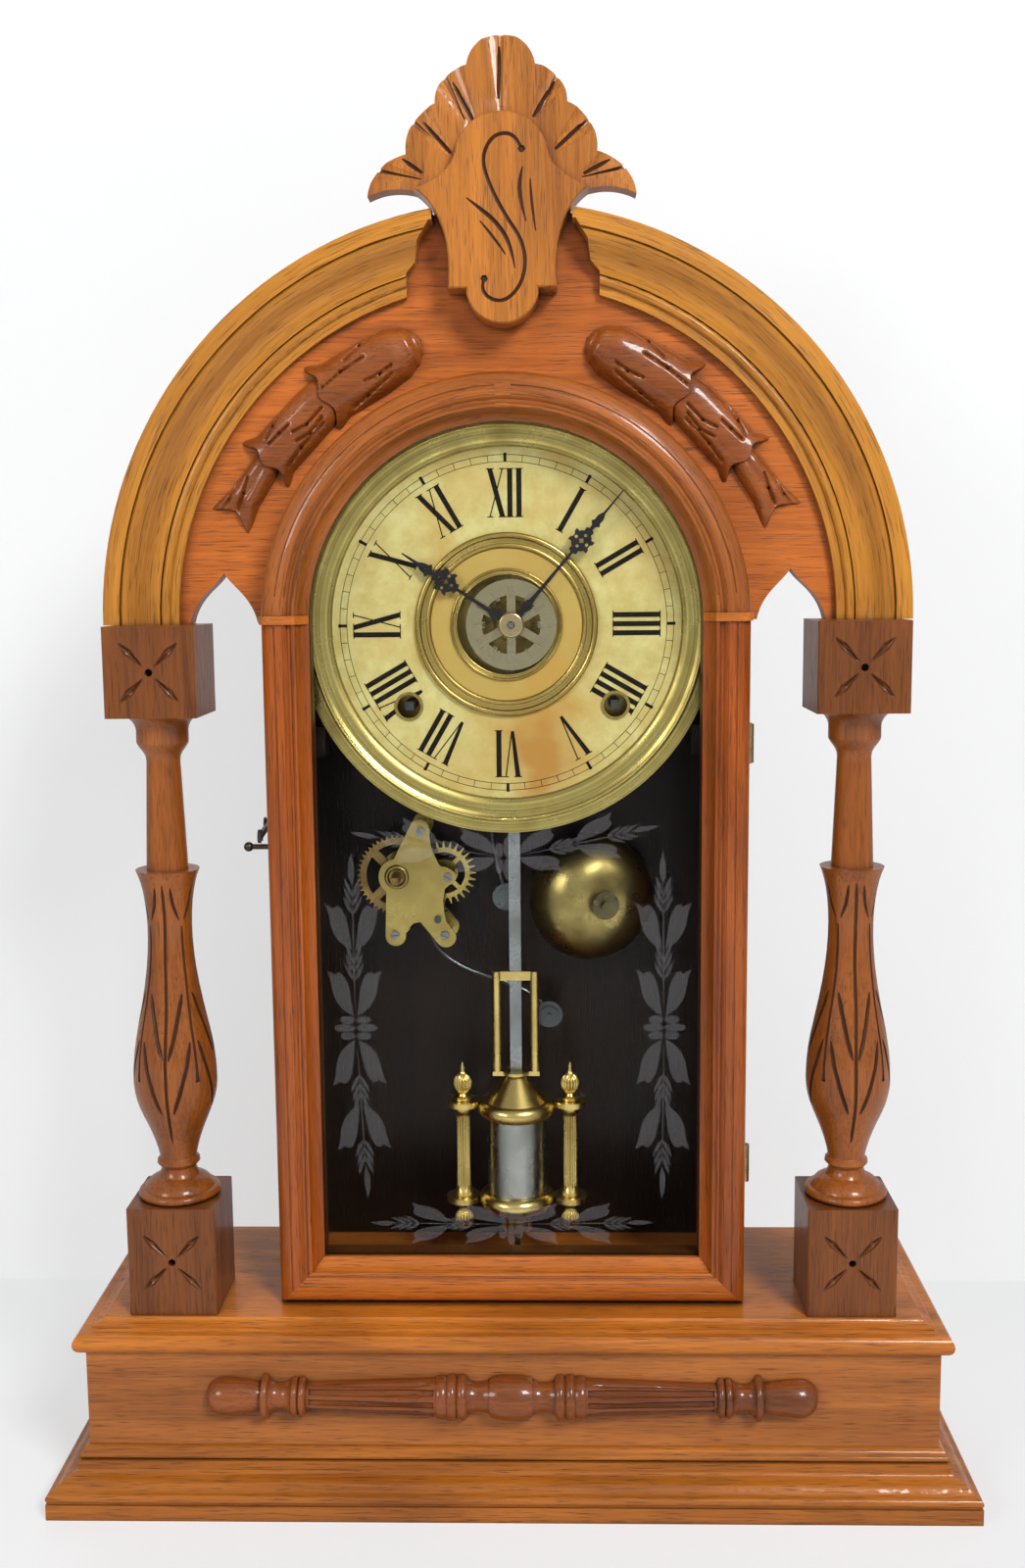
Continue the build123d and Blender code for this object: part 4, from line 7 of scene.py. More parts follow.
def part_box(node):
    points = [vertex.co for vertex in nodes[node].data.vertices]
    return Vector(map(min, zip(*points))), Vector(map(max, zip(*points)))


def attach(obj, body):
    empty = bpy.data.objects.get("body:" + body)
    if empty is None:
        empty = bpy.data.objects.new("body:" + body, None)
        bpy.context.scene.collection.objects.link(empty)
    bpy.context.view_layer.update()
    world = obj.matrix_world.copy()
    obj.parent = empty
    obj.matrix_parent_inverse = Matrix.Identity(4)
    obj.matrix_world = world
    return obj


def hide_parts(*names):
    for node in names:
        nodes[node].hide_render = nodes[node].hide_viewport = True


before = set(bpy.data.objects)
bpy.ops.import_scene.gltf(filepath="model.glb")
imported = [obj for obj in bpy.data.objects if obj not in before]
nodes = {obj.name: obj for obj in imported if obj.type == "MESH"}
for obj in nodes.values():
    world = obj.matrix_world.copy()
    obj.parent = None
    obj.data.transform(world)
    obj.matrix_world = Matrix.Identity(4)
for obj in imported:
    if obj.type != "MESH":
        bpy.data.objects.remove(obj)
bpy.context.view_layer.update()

# The camera stands a little above the dial and looks slightly down at the whole clock.
# Its place and turn were fitted to the clock's own corners, and its lens covers the picture's height.
bpy.ops.object.camera_add()
camera = bpy.context.object
camera.name = "photo_camera"
camera.data.sensor_fit = "VERTICAL"
camera.data.sensor_height = 36.0
camera.data.lens = 35.69
camera.data.clip_start = 0.05
camera.matrix_world = Matrix((
    (0.999677, 0.005772, 0.024736, 0.01784),
    (0.023755, 0.132436, -0.990907, -0.64176),
    (-0.008996, 0.991175, 0.132256, 0.38110),
    (0, 0, 0, 1),
))
bpy.context.scene.camera = camera


# The clock stands on a white table top, with a white wall close behind it. A large soft window-like
# light stands high on the right, weaker ones on the left and behind, and the room is pale.
def feed(tree, node, inputs):
    """Sets a node's inputs, or links them where another node's output is given."""
    for key, value in inputs.items():
        if isinstance(value, bpy.types.NodeSocket):
            tree.links.new(value, node.inputs[key])
        else:
            node.inputs[key].default_value = value


def put(tree, kind, inputs, **settings):
    """Adds one shader node with its settings, and sets or links its inputs."""
    node = tree.nodes.new(kind)
    for name, value in settings.items():
        setattr(node, name, value)
    feed(tree, node, inputs)
    return node


def work(tree, kind, first, second=0.0):
    """A sum on one or two numbers."""
    return put(tree, "ShaderNodeMath", {0: first, 1: second}, operation=kind).outputs[0]


def blend(tree, share, first, second):
    """A colour between two others."""
    return put(tree, "ShaderNodeMix", {0: share, 6: first, 7: second}, data_type="RGBA").outputs[2]


def spread(tree, value, low, high, to_low=0.0, to_high=1.0):
    """A value between low and high, stretched to lie between two others."""
    return put(tree, "ShaderNodeMapRange", {"Value": value, "From Min": low, "From Max": high,
                                            "To Min": to_low, "To Max": to_high}).outputs["Result"]


def new_finish(name):
    """A new material, with its node tree and its shader."""
    material = bpy.data.materials.new(name)
    material.use_nodes = True
    return material, material.node_tree, material.node_tree.nodes["Principled BSDF"]


bpy.ops.object.select_all(action="DESELECT")
stage_size, wall_y = 8, 0.165
bpy.ops.mesh.primitive_plane_add(size=stage_size)
table = bpy.context.object
table.name = "white_table"
bpy.ops.mesh.primitive_plane_add(size=stage_size, location=(0, wall_y, stage_size / 2),
                                 rotation=(math.pi / 2, 0, 0))
wall = bpy.context.object
wall.name = "white_wall"
bpy.ops.object.transform_apply(location=True, rotation=True, scale=True)
paint, tree, shader = new_finish("white_table")
looked_at = put(tree, "ShaderNodeLightPath", {}).outputs["Is Camera Ray"]
# The wall is there for the eye alone: light passes it, and it isn't seen from behind.
side_seen = put(tree, "ShaderNodeNewGeometry", {}).outputs
height = put(tree, "ShaderNodeSeparateXYZ", {0: side_seen["Position"]}).outputs[2]
on_wall = work(tree, "GREATER_THAN", height, 0.0001)
passing = work(tree, "MAXIMUM", work(tree, "SUBTRACT", 1.0, looked_at), side_seen["Backfacing"])
feed(tree, shader, {
    "Base Color": blend(tree, looked_at, (0.8, 0.805, 0.81, 1), (0.38, 0.385, 0.39, 1)),
    "Roughness": 0.7,
    "Emission Color": (1, 1, 1, 1),
    "Emission Strength": work(tree, "MULTIPLY", looked_at, 0.5),
    "Alpha": work(tree, "SUBTRACT", 1.0, work(tree, "MULTIPLY", passing, on_wall)),
})
for stage in (table, wall):
    stage.data.materials.append(paint)

world = bpy.data.worlds.new("pale_room")
world.use_nodes = True
sky = world.node_tree
path = put(sky, "ShaderNodeLightPath", {}).outputs
mirrored = spread(sky, path["Is Glossy Ray"], 0, 1, 0.3, 0.6)
feed(sky, sky.nodes["Background"], {
    "Color": (0.97, 0.98, 1, 1),
    "Strength": spread(sky, path["Is Camera Ray"], 0, 1, mirrored, 0.95),
})
bpy.context.scene.world = world
bpy.context.scene.view_settings.view_transform = "Standard"


def soft_light(name, place, aim, size, power):
    """A square area light that shines from its place at a point."""
    bpy.ops.object.light_add(type="AREA", location=place)
    lamp = bpy.context.object
    lamp.name = name
    lamp.data.size = size
    lamp.data.energy = power
    lamp.rotation_euler = (Vector(aim) - Vector(place)).to_track_quat("-Z", "Y").to_euler()
    return lamp


soft_light("window_light", (0.75, -1.25, 1.35), (0, 0, 0.3), 0.5, 27)
soft_light("room_light", (-1.1, -1.2, 0.9), (0, 0, 0.25), 0.5, 9)
soft_light("back_light", (-0.6, 1.5, 1.2), (0, 0, 0.3), 0.8, 6).visible_glossy = False


# Walnut, oiled and varnished: brown heartwood in stripes and flames, with fine fibre and short open pores.
# One grain group serves every board; each board sets the way its grain runs, its two browns and its figure.
def new_group(name, inputs, outputs):
    """An empty shader group with named sockets, what comes into it and the node that sends out."""
    group = bpy.data.node_groups.new(name, "ShaderNodeTree")
    for way, sockets in (("INPUT", inputs), ("OUTPUT", outputs)):
        for socket, kind in sockets.items():
            group.interface.new_socket(socket, in_out=way, socket_type="NodeSocket" + kind)
    return group, put(group, "NodeGroupInput", {}).outputs, put(group, "NodeGroupOutput", {})


def vector_work(tree, kind, first, second=(0, 0, 0)):
    """A sum on places, and for LENGTH the distance from nought."""
    done = put(tree, "ShaderNodeVectorMath", {0: first, 1: second}, operation=kind)
    return done.outputs["Value" if kind == "LENGTH" else 0]


def object_place(tree):
    return put(tree, "ShaderNodeTexCoord", {}).outputs["Object"]


def walnut_grain():
    """Shader group: the colour, roughness and height of walnut whose grain runs along X."""
    group, given, sent = new_group(
        "walnut_grain", {"Along": "Vector", "Light": "Color", "Dark": "Color", "Figure": "Float"},
        {"Color": "Color", "Roughness": "Float", "Height": "Float"})
    along = given["Along"]

    def grain_noise(vector, stretch, detail):
        scaled = vector_work(group, "MULTIPLY", vector, stretch)
        return put(group, "ShaderNodeTexNoise", {"Vector": scaled, "Scale": 1, "Detail": detail}).outputs

    bend = vector_work(group, "MULTIPLY", grain_noise(along, (4, 16, 16), 2)["Color"], (0.012, 0.012, 0.012))
    swayed = vector_work(group, "ADD", along, bend)
    stripes = spread(group, grain_noise(swayed, (5, 95, 95), 3)[0], 0.32, 0.68)
    rings = work(group, "MULTIPLY", grain_noise(swayed, (1.6, 13, 13), 1)[0], 75)
    flames = spread(group, work(group, "SINE", rings), -1, 1)
    fibre = grain_noise(swayed, (28, 900, 900), 2)[0]
    pores = spread(group, grain_noise(along, (90, 2100, 2100), 1)[0], 0.58, 0.7)
    figured = put(group, "ShaderNodeMix", {0: given["Figure"], 2: stripes, 3: flames}).outputs[0]
    clouds = spread(group, grain_noise(along, (7, 22, 22), 2)[0], 0.3, 0.7)
    fine = work(group, "ADD", work(group, "MULTIPLY", figured, 0.5),
                work(group, "MULTIPLY", spread(group, fibre, 0.3, 0.7), 0.28))
    tone = work(group, "ADD", fine, work(group, "MULTIPLY", clouds, 0.22))
    wood = blend(group, tone, given["Dark"], given["Light"])
    feed(group, sent, {
        "Color": blend(group, work(group, "MULTIPLY", pores, 0.55), wood, (0.03, 0.012, 0.005, 1)),
        "Roughness": work(group, "ADD", spread(group, fibre, 0.3, 0.7, 0.3, 0.42),
                          work(group, "MULTIPLY", pores, 0.2)),
        "Height": work(group, "SUBTRACT", work(group, "MULTIPLY", fibre, 0.35), pores),
    })
    return group


mm = 0.001
arch_line = 363.0


def arch_coordinates():
    """Shader group: turns a place into (way round the arch, depth, radius) about the spring line's middle."""
    group, given, sent = new_group("round_the_arch", {"Place": "Vector"}, {"Along": "Vector"})
    parts = put(group, "ShaderNodeSeparateXYZ", {0: given[0]}).outputs
    rise = work(group, "SUBTRACT", parts[2], arch_line * mm)
    way = work(group, "MULTIPLY", work(group, "ARCTAN2", rise, parts[0]), 0.14)
    flat = put(group, "ShaderNodeCombineXYZ", {0: parts[0], 1: rise}).outputs[0]
    radius = vector_work(group, "LENGTH", flat)
    feed(group, sent, {0: put(group, "ShaderNodeCombineXYZ", {0: way, 1: parts[1], 2: radius}).outputs[0]})
    return group


grain_group = walnut_grain()
arch_group = arch_coordinates()
grain_turns = {"across": (0, 0, 0), "up": (0, math.pi / 2, 0), "round": (0, 0, 0)}


def grained(tree, place, light, dark, grain, figure, shift=0.0):
    """The grain group, turned the way that the board's grain runs; gives its outputs."""
    if grain == "round":
        place = put(tree, "ShaderNodeGroup", {"Place": place}, node_tree=arch_group).outputs[0]
    turned_place = put(tree, "ShaderNodeMapping", {"Vector": place, "Location": (shift, shift, shift),
                                                   "Rotation": grain_turns[grain]})
    return put(tree, "ShaderNodeGroup", {"Along": turned_place.outputs[0], "Light": (*light, 1),
                                         "Dark": (*dark, 1), "Figure": figure},
               node_tree=grain_group).outputs


def darken_corners_dirt_shade(tree, colour, corner_dirt_shade_colour, reach, low, high, most):
    """A colour darkened in the corners, where the surface is shut in by what is near it: dirt and painted
    shade.
    """
    # Painted shade with dirt: ambient occlusion darkens corners, grooves and joints towards the given colour.
    hidden = put(tree, "ShaderNodeAmbientOcclusion", {"Distance": reach}, samples=4).outputs["AO"]
    return blend(tree, spread(tree, hidden, low, high, most, 0.0), colour, (*corner_dirt_shade_colour, 1))


def walnut(name, light, dark, grain, figure=0.35, shift=0.0, gloss=0.5):
    """A walnut finish; grain is across, up or round, and shift picks another part of the board."""
    material, tree, shader = new_finish(name)
    wood = grained(tree, object_place(tree), light, dark, grain, figure, shift)
    bump = put(tree, "ShaderNodeBump", {"Height": wood["Height"], "Strength": 0.25, "Distance": 0.0004})
    feed(tree, shader, {
        # The grain's colour is darkened in corners and cuts: dirt and painted shade.
        "Base Color": darken_corners_dirt_shade(tree, wood["Color"], (0.035, 0.013, 0.006), 0.004, 0.2, 0.78, 0.9),
        "Roughness": wood["Roughness"],
        "Normal": bump.outputs[0],
        "Specular IOR Level": 0.2,
        "Coat Weight": gloss * 0.7,
        "Coat Roughness": 0.1,
    })
    return material


def dress(material, *names):
    """Gives CAD nodes a finish."""
    for name in names:
        for slot in nodes[name].material_slots:
            slot.material = material


# The base: a box of walnut boards with mitred mouldings round its foot and a moulded slab on top, glued up
# on a plain pine bottom board. The slab is the mouldings' walnut made paler, as painted light, and the frieze
# is the plainest.
base_walnut = walnut("walnut_base_mouldings", (0.516, 0.163, 0.017), (0.1654, 0.0449, 0.0047), "across", 0.5)
# Painted light: the slab's two browns are the mouldings' browns made 1.4 times brighter, as if lit.
slab_walnut_painted_lit = walnut("walnut_slab_painted_lit", (0.72, 0.228, 0.024), (0.23, 0.06, 0.0065), "across", 0.5, 0.2)
frieze_walnut = walnut("walnut_frieze", (0.52, 0.17, 0.03), (0.16, 0.046, 0.0075), "across", 0.25, 0.4)
pine = walnut("pine_boards", (0.42, 0.28, 0.14), (0.26, 0.15, 0.07), "across", 0.6, 0.9, 0.0)
dress(base_walnut, "plinth_mouldings")
dress(slab_walnut_painted_lit, "base_top_slab")
dress(frieze_walnut, "frieze_front_board", "base_side_and_back_boards")
dress(pine, "base_bottom_board")


# Split turning: half a spindle of darker walnut, glued to the frieze. Three stopped flutes show on each half
# of it, run in with a round gouge. Here each cut is a rod taken out of a merged copy of the CAD piece.
def pick(*pieces):
    """Selects these pieces alone, with the first of them active."""
    bpy.ops.object.select_all(action="DESELECT")
    for piece in pieces:
        piece.select_set(True)
    bpy.context.view_layer.objects.active = pieces[0]


def smooth(piece, degrees):
    """Smooths what turns by less than an angle."""
    pick(piece)
    bpy.ops.object.shade_smooth_by_angle(angle=math.radians(degrees))


def one_mesh(pieces, name):
    """Turns curves and meshes into one mesh object."""
    pick(*pieces)
    bpy.ops.object.convert(target="MESH")
    if len(pieces) > 1:
        bpy.ops.object.join()
    joined = bpy.context.object
    joined.name = name
    return joined


def gouge(places, width, foot=0.3, head=0.3, roundness=1):
    """The rod that one cut takes away, along places in mm; foot and head are its width shares at the ends."""
    line = bpy.data.curves.new("gouge", "CURVE")
    line.dimensions = "3D"
    line.bevel_depth = width * mm
    line.bevel_resolution = roundness
    line.use_fill_caps = True
    line.resolution_u = 4
    if len(places) == 2:
        places = (places[0], (Vector(places[0]) + Vector(places[1])) / 2, places[1])
    run = line.splines.new("NURBS")
    run.points.add(len(places) - 1)
    for number, (point, place) in enumerate(zip(run.points, places)):
        point.co = (*(Vector(place) * mm), 1)
        if roundness > 1:
            point.radius = foot + (head - foot) * number / (len(places) - 1)
    if roundness == 1:
        run.points[0].radius = foot
        run.points[-1].radius = head
    run.order_u = 3
    run.use_endpoint_u = True
    rod = bpy.data.objects.new("gouge", line)
    bpy.context.collection.objects.link(rod)
    return rod


def cut_out(piece, tool, **settings):
    """Cuts a tool's shape out of a piece, and takes the tool away."""
    cut = piece.modifiers.new("cut", "BOOLEAN")
    cut.operation = "DIFFERENCE"
    for name, value in settings.items():
        setattr(cut, name, value)
    cut.object = tool
    pick(piece)
    bpy.ops.object.modifier_apply(modifier="cut")
    bpy.data.objects.remove(tool)


def cut_with(piece, rods, finish):
    """Cuts a group of rods out of a piece; the walls of the cuts get their own finish."""
    tool = one_mesh(rods, "rods")
    tool.data.materials.clear()
    tool.data.materials.append(finish)
    cut_out(piece, tool, material_mode="TRANSFER")


def carved(node, name, *groups):
    """A merged copy of a CAD node, less groups of (rods, finish of the cut); it stands for the node."""
    piece = bpy.data.objects.new(name, nodes[node].data.copy())
    bpy.context.collection.objects.link(piece)
    pick(piece)
    bpy.ops.mesh.customdata_custom_splitnormals_clear()
    bpy.ops.object.mode_set(mode="EDIT")
    bpy.ops.mesh.select_all(action="SELECT")
    bpy.ops.mesh.remove_doubles(threshold=0.000005)
    bpy.ops.object.mode_set(mode="OBJECT")
    for rods, finish in groups:
        cut_with(piece, rods, finish)
    smooth(piece, 35)
    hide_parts(node)
    return piece


def front_of(piece, across, up, start=-100):
    """The place, in mm, where a piece is first met from the front."""
    return piece.ray_cast(Vector((across, start, up)) * mm, Vector((0, 1, 0)))[1] * 1000


def closely(spots, step=4):
    """The same line with a spot at least every few mm, so that a cut keeps to the skin."""
    line = []
    for start, end in zip(spots, spots[1:]):
        start, end = Vector(start), Vector(end)
        parts = math.ceil((end - start).length / step)
        line += [start + (end - start) * part / parts for part in range(parts)]
    return [tuple(spot) for spot in line] + [tuple(spots[-1])]


turning_walnut = walnut("walnut_turning", (0.31, 0.08, 0.013), (0.082, 0.02, 0.0035), "across", 0.2, 0.7, 0.7)
dress(turning_walnut, "split_turning")
turning_low, turning_high = (Vector(corner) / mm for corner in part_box("split_turning"))
turning_z = (turning_low.z + turning_high.z) / 2
flute_start, flute_end, flute_rise, flute_narrowing, flute_width = 31.5, 83.0, 4.6, 0.82, 1.75
flute_rods = []
for side in (-1, 1):
    for row in (-1, 0, 1):
        flute = closely(((side * flute_start, row * flute_rise),
                         (side * flute_end, row * flute_rise * flute_narrowing)), 5)
        flute_rods.append(gouge([front_of(nodes["split_turning"], across, turning_z + up)
                                 for across, up in flute], flute_width, 0.8, 0.8, 3))
turning = carved("split_turning", "fluted_turning", (flute_rods, turning_walnut))
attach(turning, "case")

# Square blocks of dark walnut stand under and over each column, with their grain up. Four tapered cuts run
# from near the corners of each block's front to the small hole in its middle, painted dark for old dirt and
# shade.
block_walnut = walnut("walnut_blocks", (0.253, 0.075, 0.014), (0.0726, 0.0206, 0.0048), "up", 0.3, 1.3, 0.35)
# The walls of the carved cuts wear this near-black walnut: dirt, and painted shade inside the cuts.
cut_walls_dirt_and_shade = walnut("walnut_in_the_cuts_dirty_and_shaded", (0.1, 0.032, 0.01), (0.05, 0.016, 0.006), "up", 0.2, 0.3, 0.0)
dress(block_walnut, "lower_blocks", "upper_blocks")
column_x, column_y = 140.3, -14.9
block_cut_width, cut_reach_and_depth = 0.95, ((4.4, 0.6), (11.4, 1.4), (15.6, 0.5))
for node, name in (("lower_blocks", "gouged_lower_blocks"), ("upper_blocks", "gouged_upper_blocks")):
    low, high = (Vector(corner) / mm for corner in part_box(node))
    rods = []
    for side in (-1, 1):
        for quarter in range(4):
            turn = math.radians(45 + 90 * quarter)
            rods.append(gouge([(side * column_x + reach * math.cos(turn), low.y + deep,
                                (low.z + high.z) / 2 + reach * math.sin(turn))
                               for reach, deep in cut_reach_and_depth], block_cut_width))
    blocks = carved(node, name, (rods, cut_walls_dirt_and_shade))
    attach(blocks, "case")

# The columns are turned from one stick each and carved on the vase: four leaves climb it, and a line with a
# fork lies between each two. Each cut was made with a small gouge.
column_walnut = walnut("walnut_columns", (0.389, 0.11, 0.014), (0.1093, 0.0272, 0.004), "up", 0.3, 2.1, 0.6)
dress(column_walnut, "turned_columns")


def on_column(side, bearing, offset, height):
    """A place on a column's skin, offset mm sideways from a bearing, at a height in mm."""
    axis = Vector((side * column_x, column_y, height))

    def skin(angle):
        out = Vector((math.sin(angle), -math.cos(angle), 0))
        return nodes["turned_columns"].ray_cast((axis + out * 40) * mm, -out)[1] * 1000

    return skin(bearing + offset / (skin(bearing) - axis).length)


leaf_stem = ((0, 258), (0.3, 245), (0, 225), (0.4, 205), (0, 185), (0.2, 165), (0, 149))
leaf_veins = (((6.6, 212.7), (5.2, 204), (3.3, 194), (1.2, 186)),
              ((10.2, 193), (8.8, 183), (5.6, 172), (2.4, 163)))
fork_line = ((0, 240.5), (0.3, 220), (-0.3, 198), (0, 176))
fork_arm = ((5.4, 257), (3.6, 249), (1.2, 243))
stem_width, vein_width, fork_width, arm_width = 0.7, 1.0, 0.65, 0.8


def column_cut(side, bearing, spots, width, hand=1, foot=0.3, head=0.3):
    """One cut on a column, from its spots (sideways, height); hand -1 mirrors it."""
    return gouge([on_column(side, bearing, hand * out, up) for out, up in closely(spots)], width, foot, head)


stem_rods, vein_rods = [], []
for side in (-1, 1):
    for quarter in range(4):
        bearing = math.radians(90 * quarter)
        between_leaves = bearing + math.radians(45)
        stem_rods.append(column_cut(side, bearing, leaf_stem, stem_width))
        stem_rods.append(column_cut(side, between_leaves, fork_line, fork_width, 1, 0.5, 1.6))
        for hand in (-1, 1):
            vein_rods += [column_cut(side, bearing, vein, vein_width, hand) for vein in leaf_veins]
            vein_rods.append(column_cut(side, between_leaves, fork_arm, arm_width, hand))
# The leaf cuts have near-black walls: dirt and painted shade.
columns = carved("turned_columns", "carved_columns", (stem_rods, cut_walls_dirt_and_shade), (vein_rods, cut_walls_dirt_and_shade))


def close_shell(merging=0.0):
    """Closes the open rims of the shell in hand, and turns its faces outward; merging joins what meets."""
    bpy.ops.object.mode_set(mode="EDIT")
    if merging:
        bpy.ops.mesh.select_all(action="SELECT")
        bpy.ops.mesh.remove_doubles(threshold=merging)
    bpy.ops.mesh.select_all(action="DESELECT")
    bpy.ops.mesh.select_mode(type="EDGE")
    bpy.ops.mesh.select_non_manifold()
    bpy.ops.mesh.edge_face_add()
    bpy.ops.mesh.select_all(action="SELECT")
    bpy.ops.mesh.normals_make_consistent(inside=False)
    bpy.ops.object.mode_set(mode="OBJECT")


def turned(profile, axis, steps, ribs=0, ribbed=()):
    """A closed turning from a (radius, height) profile in mm, round an upright axis, reeded over spans."""
    rows = len(profile) - 1
    bpy.ops.object.select_all(action="DESELECT")
    bpy.ops.mesh.primitive_grid_add(x_subdivisions=steps, y_subdivisions=rows, size=1)
    turning = bpy.context.object
    for corner in turning.data.vertices:
        angle = 2 * math.pi * (corner.co.x + 0.5)
        radius, up = profile[round((corner.co.y + 0.5) * rows)]
        if any(low < up < high for low, high in ribbed):
            radius *= 1 - 0.16 * abs(math.cos(ribs / 2 * angle)) ** 4
        corner.co = Vector((axis[0] + radius * math.cos(angle), axis[1] + radius * math.sin(angle), up)) * mm
    close_shell(0.000002)
    return turning


# The foot of each column swells to a round cushion on its block, below a small ring.
foot_profile = (
    (0.2, 123.7), (14.2, 123.7), (14.9, 124.6), (15, 126.2), (14.2, 128.4), (12.4, 130.4), (9.8, 131.9),
    (7.6, 132.6), (6.9, 133.1), (6.6, 134.4), (6.9, 136), (8, 136.9), (8.9, 138), (8.7, 139.4), (7.8, 140.2),
    (7.2, 141.2), (0.2, 141.4),
)
feet = [turned(foot_profile, (side * column_x, column_y), 64) for side in (-1, 1)]
for foot in feet:
    foot.data.materials.append(column_walnut)
columns = one_mesh([columns, *feet], "carved_columns")
smooth(columns, 35)
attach(columns, "case")

# The arch: a board cut to a half ring with its grain across, and two mouldings that were bent round and
# glued on its rim. They are paler than the board.
arch_walnut = walnut("walnut_arch_board", (0.64, 0.17, 0.022), (0.21, 0.048, 0.0065), "across",
                     0.3, 2.9, 0.35)
moulding_walnut = walnut("walnut_arch_mouldings", (0.624, 0.257, 0.027), (0.2304, 0.0756, 0.0072), "round",
                         0.3, 3.3)
dress(arch_walnut, "arch_board")
dress(moulding_walnut, "arch_mouldings")

# The husks hang in threes on each side of the arch board, glued on: each is a leaf rolled over a bud,
# with two pointed corners and a tongue at its lip, and cuts that run with it.
husk_walnut = walnut("walnut_husks", (0.36, 0.094, 0.013), (0.1108, 0.0251, 0.0037), "across", 0.3, 4.4, 0.6)
board_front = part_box("arch_board")[0][1]
husk_rows = (
    {"root": (-33.0, 475.4), "lip": (-73.4, 452.6), "lobes": -2.8,
     "widths": ((0, 0.0), (0.05, 5.5), (0.13, 8.6), (0.25, 10.8), (0.5, 11.8), (0.84, 11.9), (1, 14.2)),
     "heights": ((0, 0.0), (0.05, 4.6), (0.14, 7.4), (0.3, 8.5), (0.7, 7.2), (1, 7.4)),
     "cuts": (((-63.8, 466.5), (-57.6, 472.9), (-50.2, 478.1)), ((-65.1, 462.3), (-55.9, 468.1)),
              ((-73.3, 455.6), (-65.1, 462.3)), ((-55.4, 458.7), (-49.3, 461.3), (-44.3, 464.8)),
              ((-60.0, 448.6), (-54.3, 453.3), (-44.4, 461.3)))},
    {"root": (-68.0, 456.6), "lip": (-96.9, 426.7), "lobes": -2.6,
     "widths": ((0, 8.4), (0.3, 10.0), (0.6, 10.2), (0.84, 10.3), (1, 12.8)),
     "heights": ((0, 4.8), (0.2, 6.4), (0.6, 6.2), (1, 6.2)),
     "cuts": (((-95.9, 436.4), (-93.3, 441.8), (-88.8, 448.9)),
              ((-94.7, 434.6), (-90.3, 438.7), (-86.5, 442.3)),
              ((-84.7, 439.3), (-79.1, 442.2), (-72.8, 448.7)),
              ((-83.6, 435.7), (-78.0, 438.6), (-72.9, 445.1)),
              ((-87.0, 426.1), (-81.8, 433.2), (-72.4, 442.7)))},
    {"root": (-93.0, 431.6), "lip": (-109.2, 408.4), "lobes": 5.0,
     "widths": ((0, 5.2), (0.4, 6.2), (0.7, 6.6), (1, 8.8)),
     "heights": ((0, 4.0), (0.3, 5.6), (0.75, 4.6), (1, 2.6)),
     "cuts": (((-108.5, 409.3), (-105.8, 415.4), (-103.8, 421.4)),
              ((-102.4, 404.4), (-100.4, 410.5), (-95.3, 416.5)),
              ((-117.2, 407.0), (-112.1, 413.0), (-108.1, 420.3)))},
)
cut_width, cut_depth, husk_long, husk_wide = 0.55, 1.3, 84, 48


def between(table, share):
    """The value at a share of the way along a table of (share, value) pairs, eased from one to the next."""
    for (low, first), (high, last) in zip(table, table[1:]):
        if share <= high:
            part = (share - low) / (high - low)
            return first + (last - first) * part * part * (3 - 2 * part)
    return table[-1][1]


def husk(row, side):
    """One husk: a grid laid along its line, rounded up from the board, cut, and closed at lip and back."""
    bpy.ops.mesh.primitive_grid_add(x_subdivisions=husk_long, y_subdivisions=husk_wide, size=1)
    leaf = bpy.context.object
    root, lip = Vector(row["root"]), Vector(row["lip"])
    way = (lip - root).normalized()
    across = Vector((-way.y, way.x))
    length = (lip - root).length
    steps = []
    for cut in row["cuts"]:
        steps += [(Vector(a), Vector(b)) for a, b in zip(cut, cut[1:])]
    for corner in leaf.data.vertices:
        share, out = corner.co.x + 0.5, corner.co.y * 2
        at_lip = share > 1 - 0.5 / husk_long
        share = min(share * (husk_long + 1) / husk_long, 1)
        edge = math.sin(math.pi * min(abs(out) * 1.05, 1)) ** 2 if row["lobes"] < 0 else abs(out) ** 1.4
        reach = length * share + row["lobes"] * edge * share ** 5
        spot = root + way * reach + across * between(row["widths"], share) * out
        rise = between(row["heights"], share) * max(1 - abs(out) ** 2.4, 0) ** (0.55 + 0.5 * share ** 8)
        if row["lobes"] > 0:
            rise *= 1 - 0.3 * math.exp(-(out / 0.22) ** 2) * share
        for start, end in steps:
            run = end - start
            part = min(max((spot - start).dot(run) / run.length_squared, 0), 1)
            away = (spot - start - run * part).length
            rise -= cut_depth * math.exp(-(away / cut_width) ** 2) * min(rise / 3, 1)
        if at_lip:
            spot, rise = spot + way * 0.7 * min(rise, 1), 0
        corner.co = (-side * spot.x * mm, board_front - rise * mm, spot.y * mm)
    close_shell()
    smooth(leaf, 50)
    return leaf


husks = one_mesh([husk(row, side) for side in (-1, 1) for row in husk_rows], "carved_husks")
husks.data.materials.append(husk_walnut)
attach(husks, "case")
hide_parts("husk_drops")

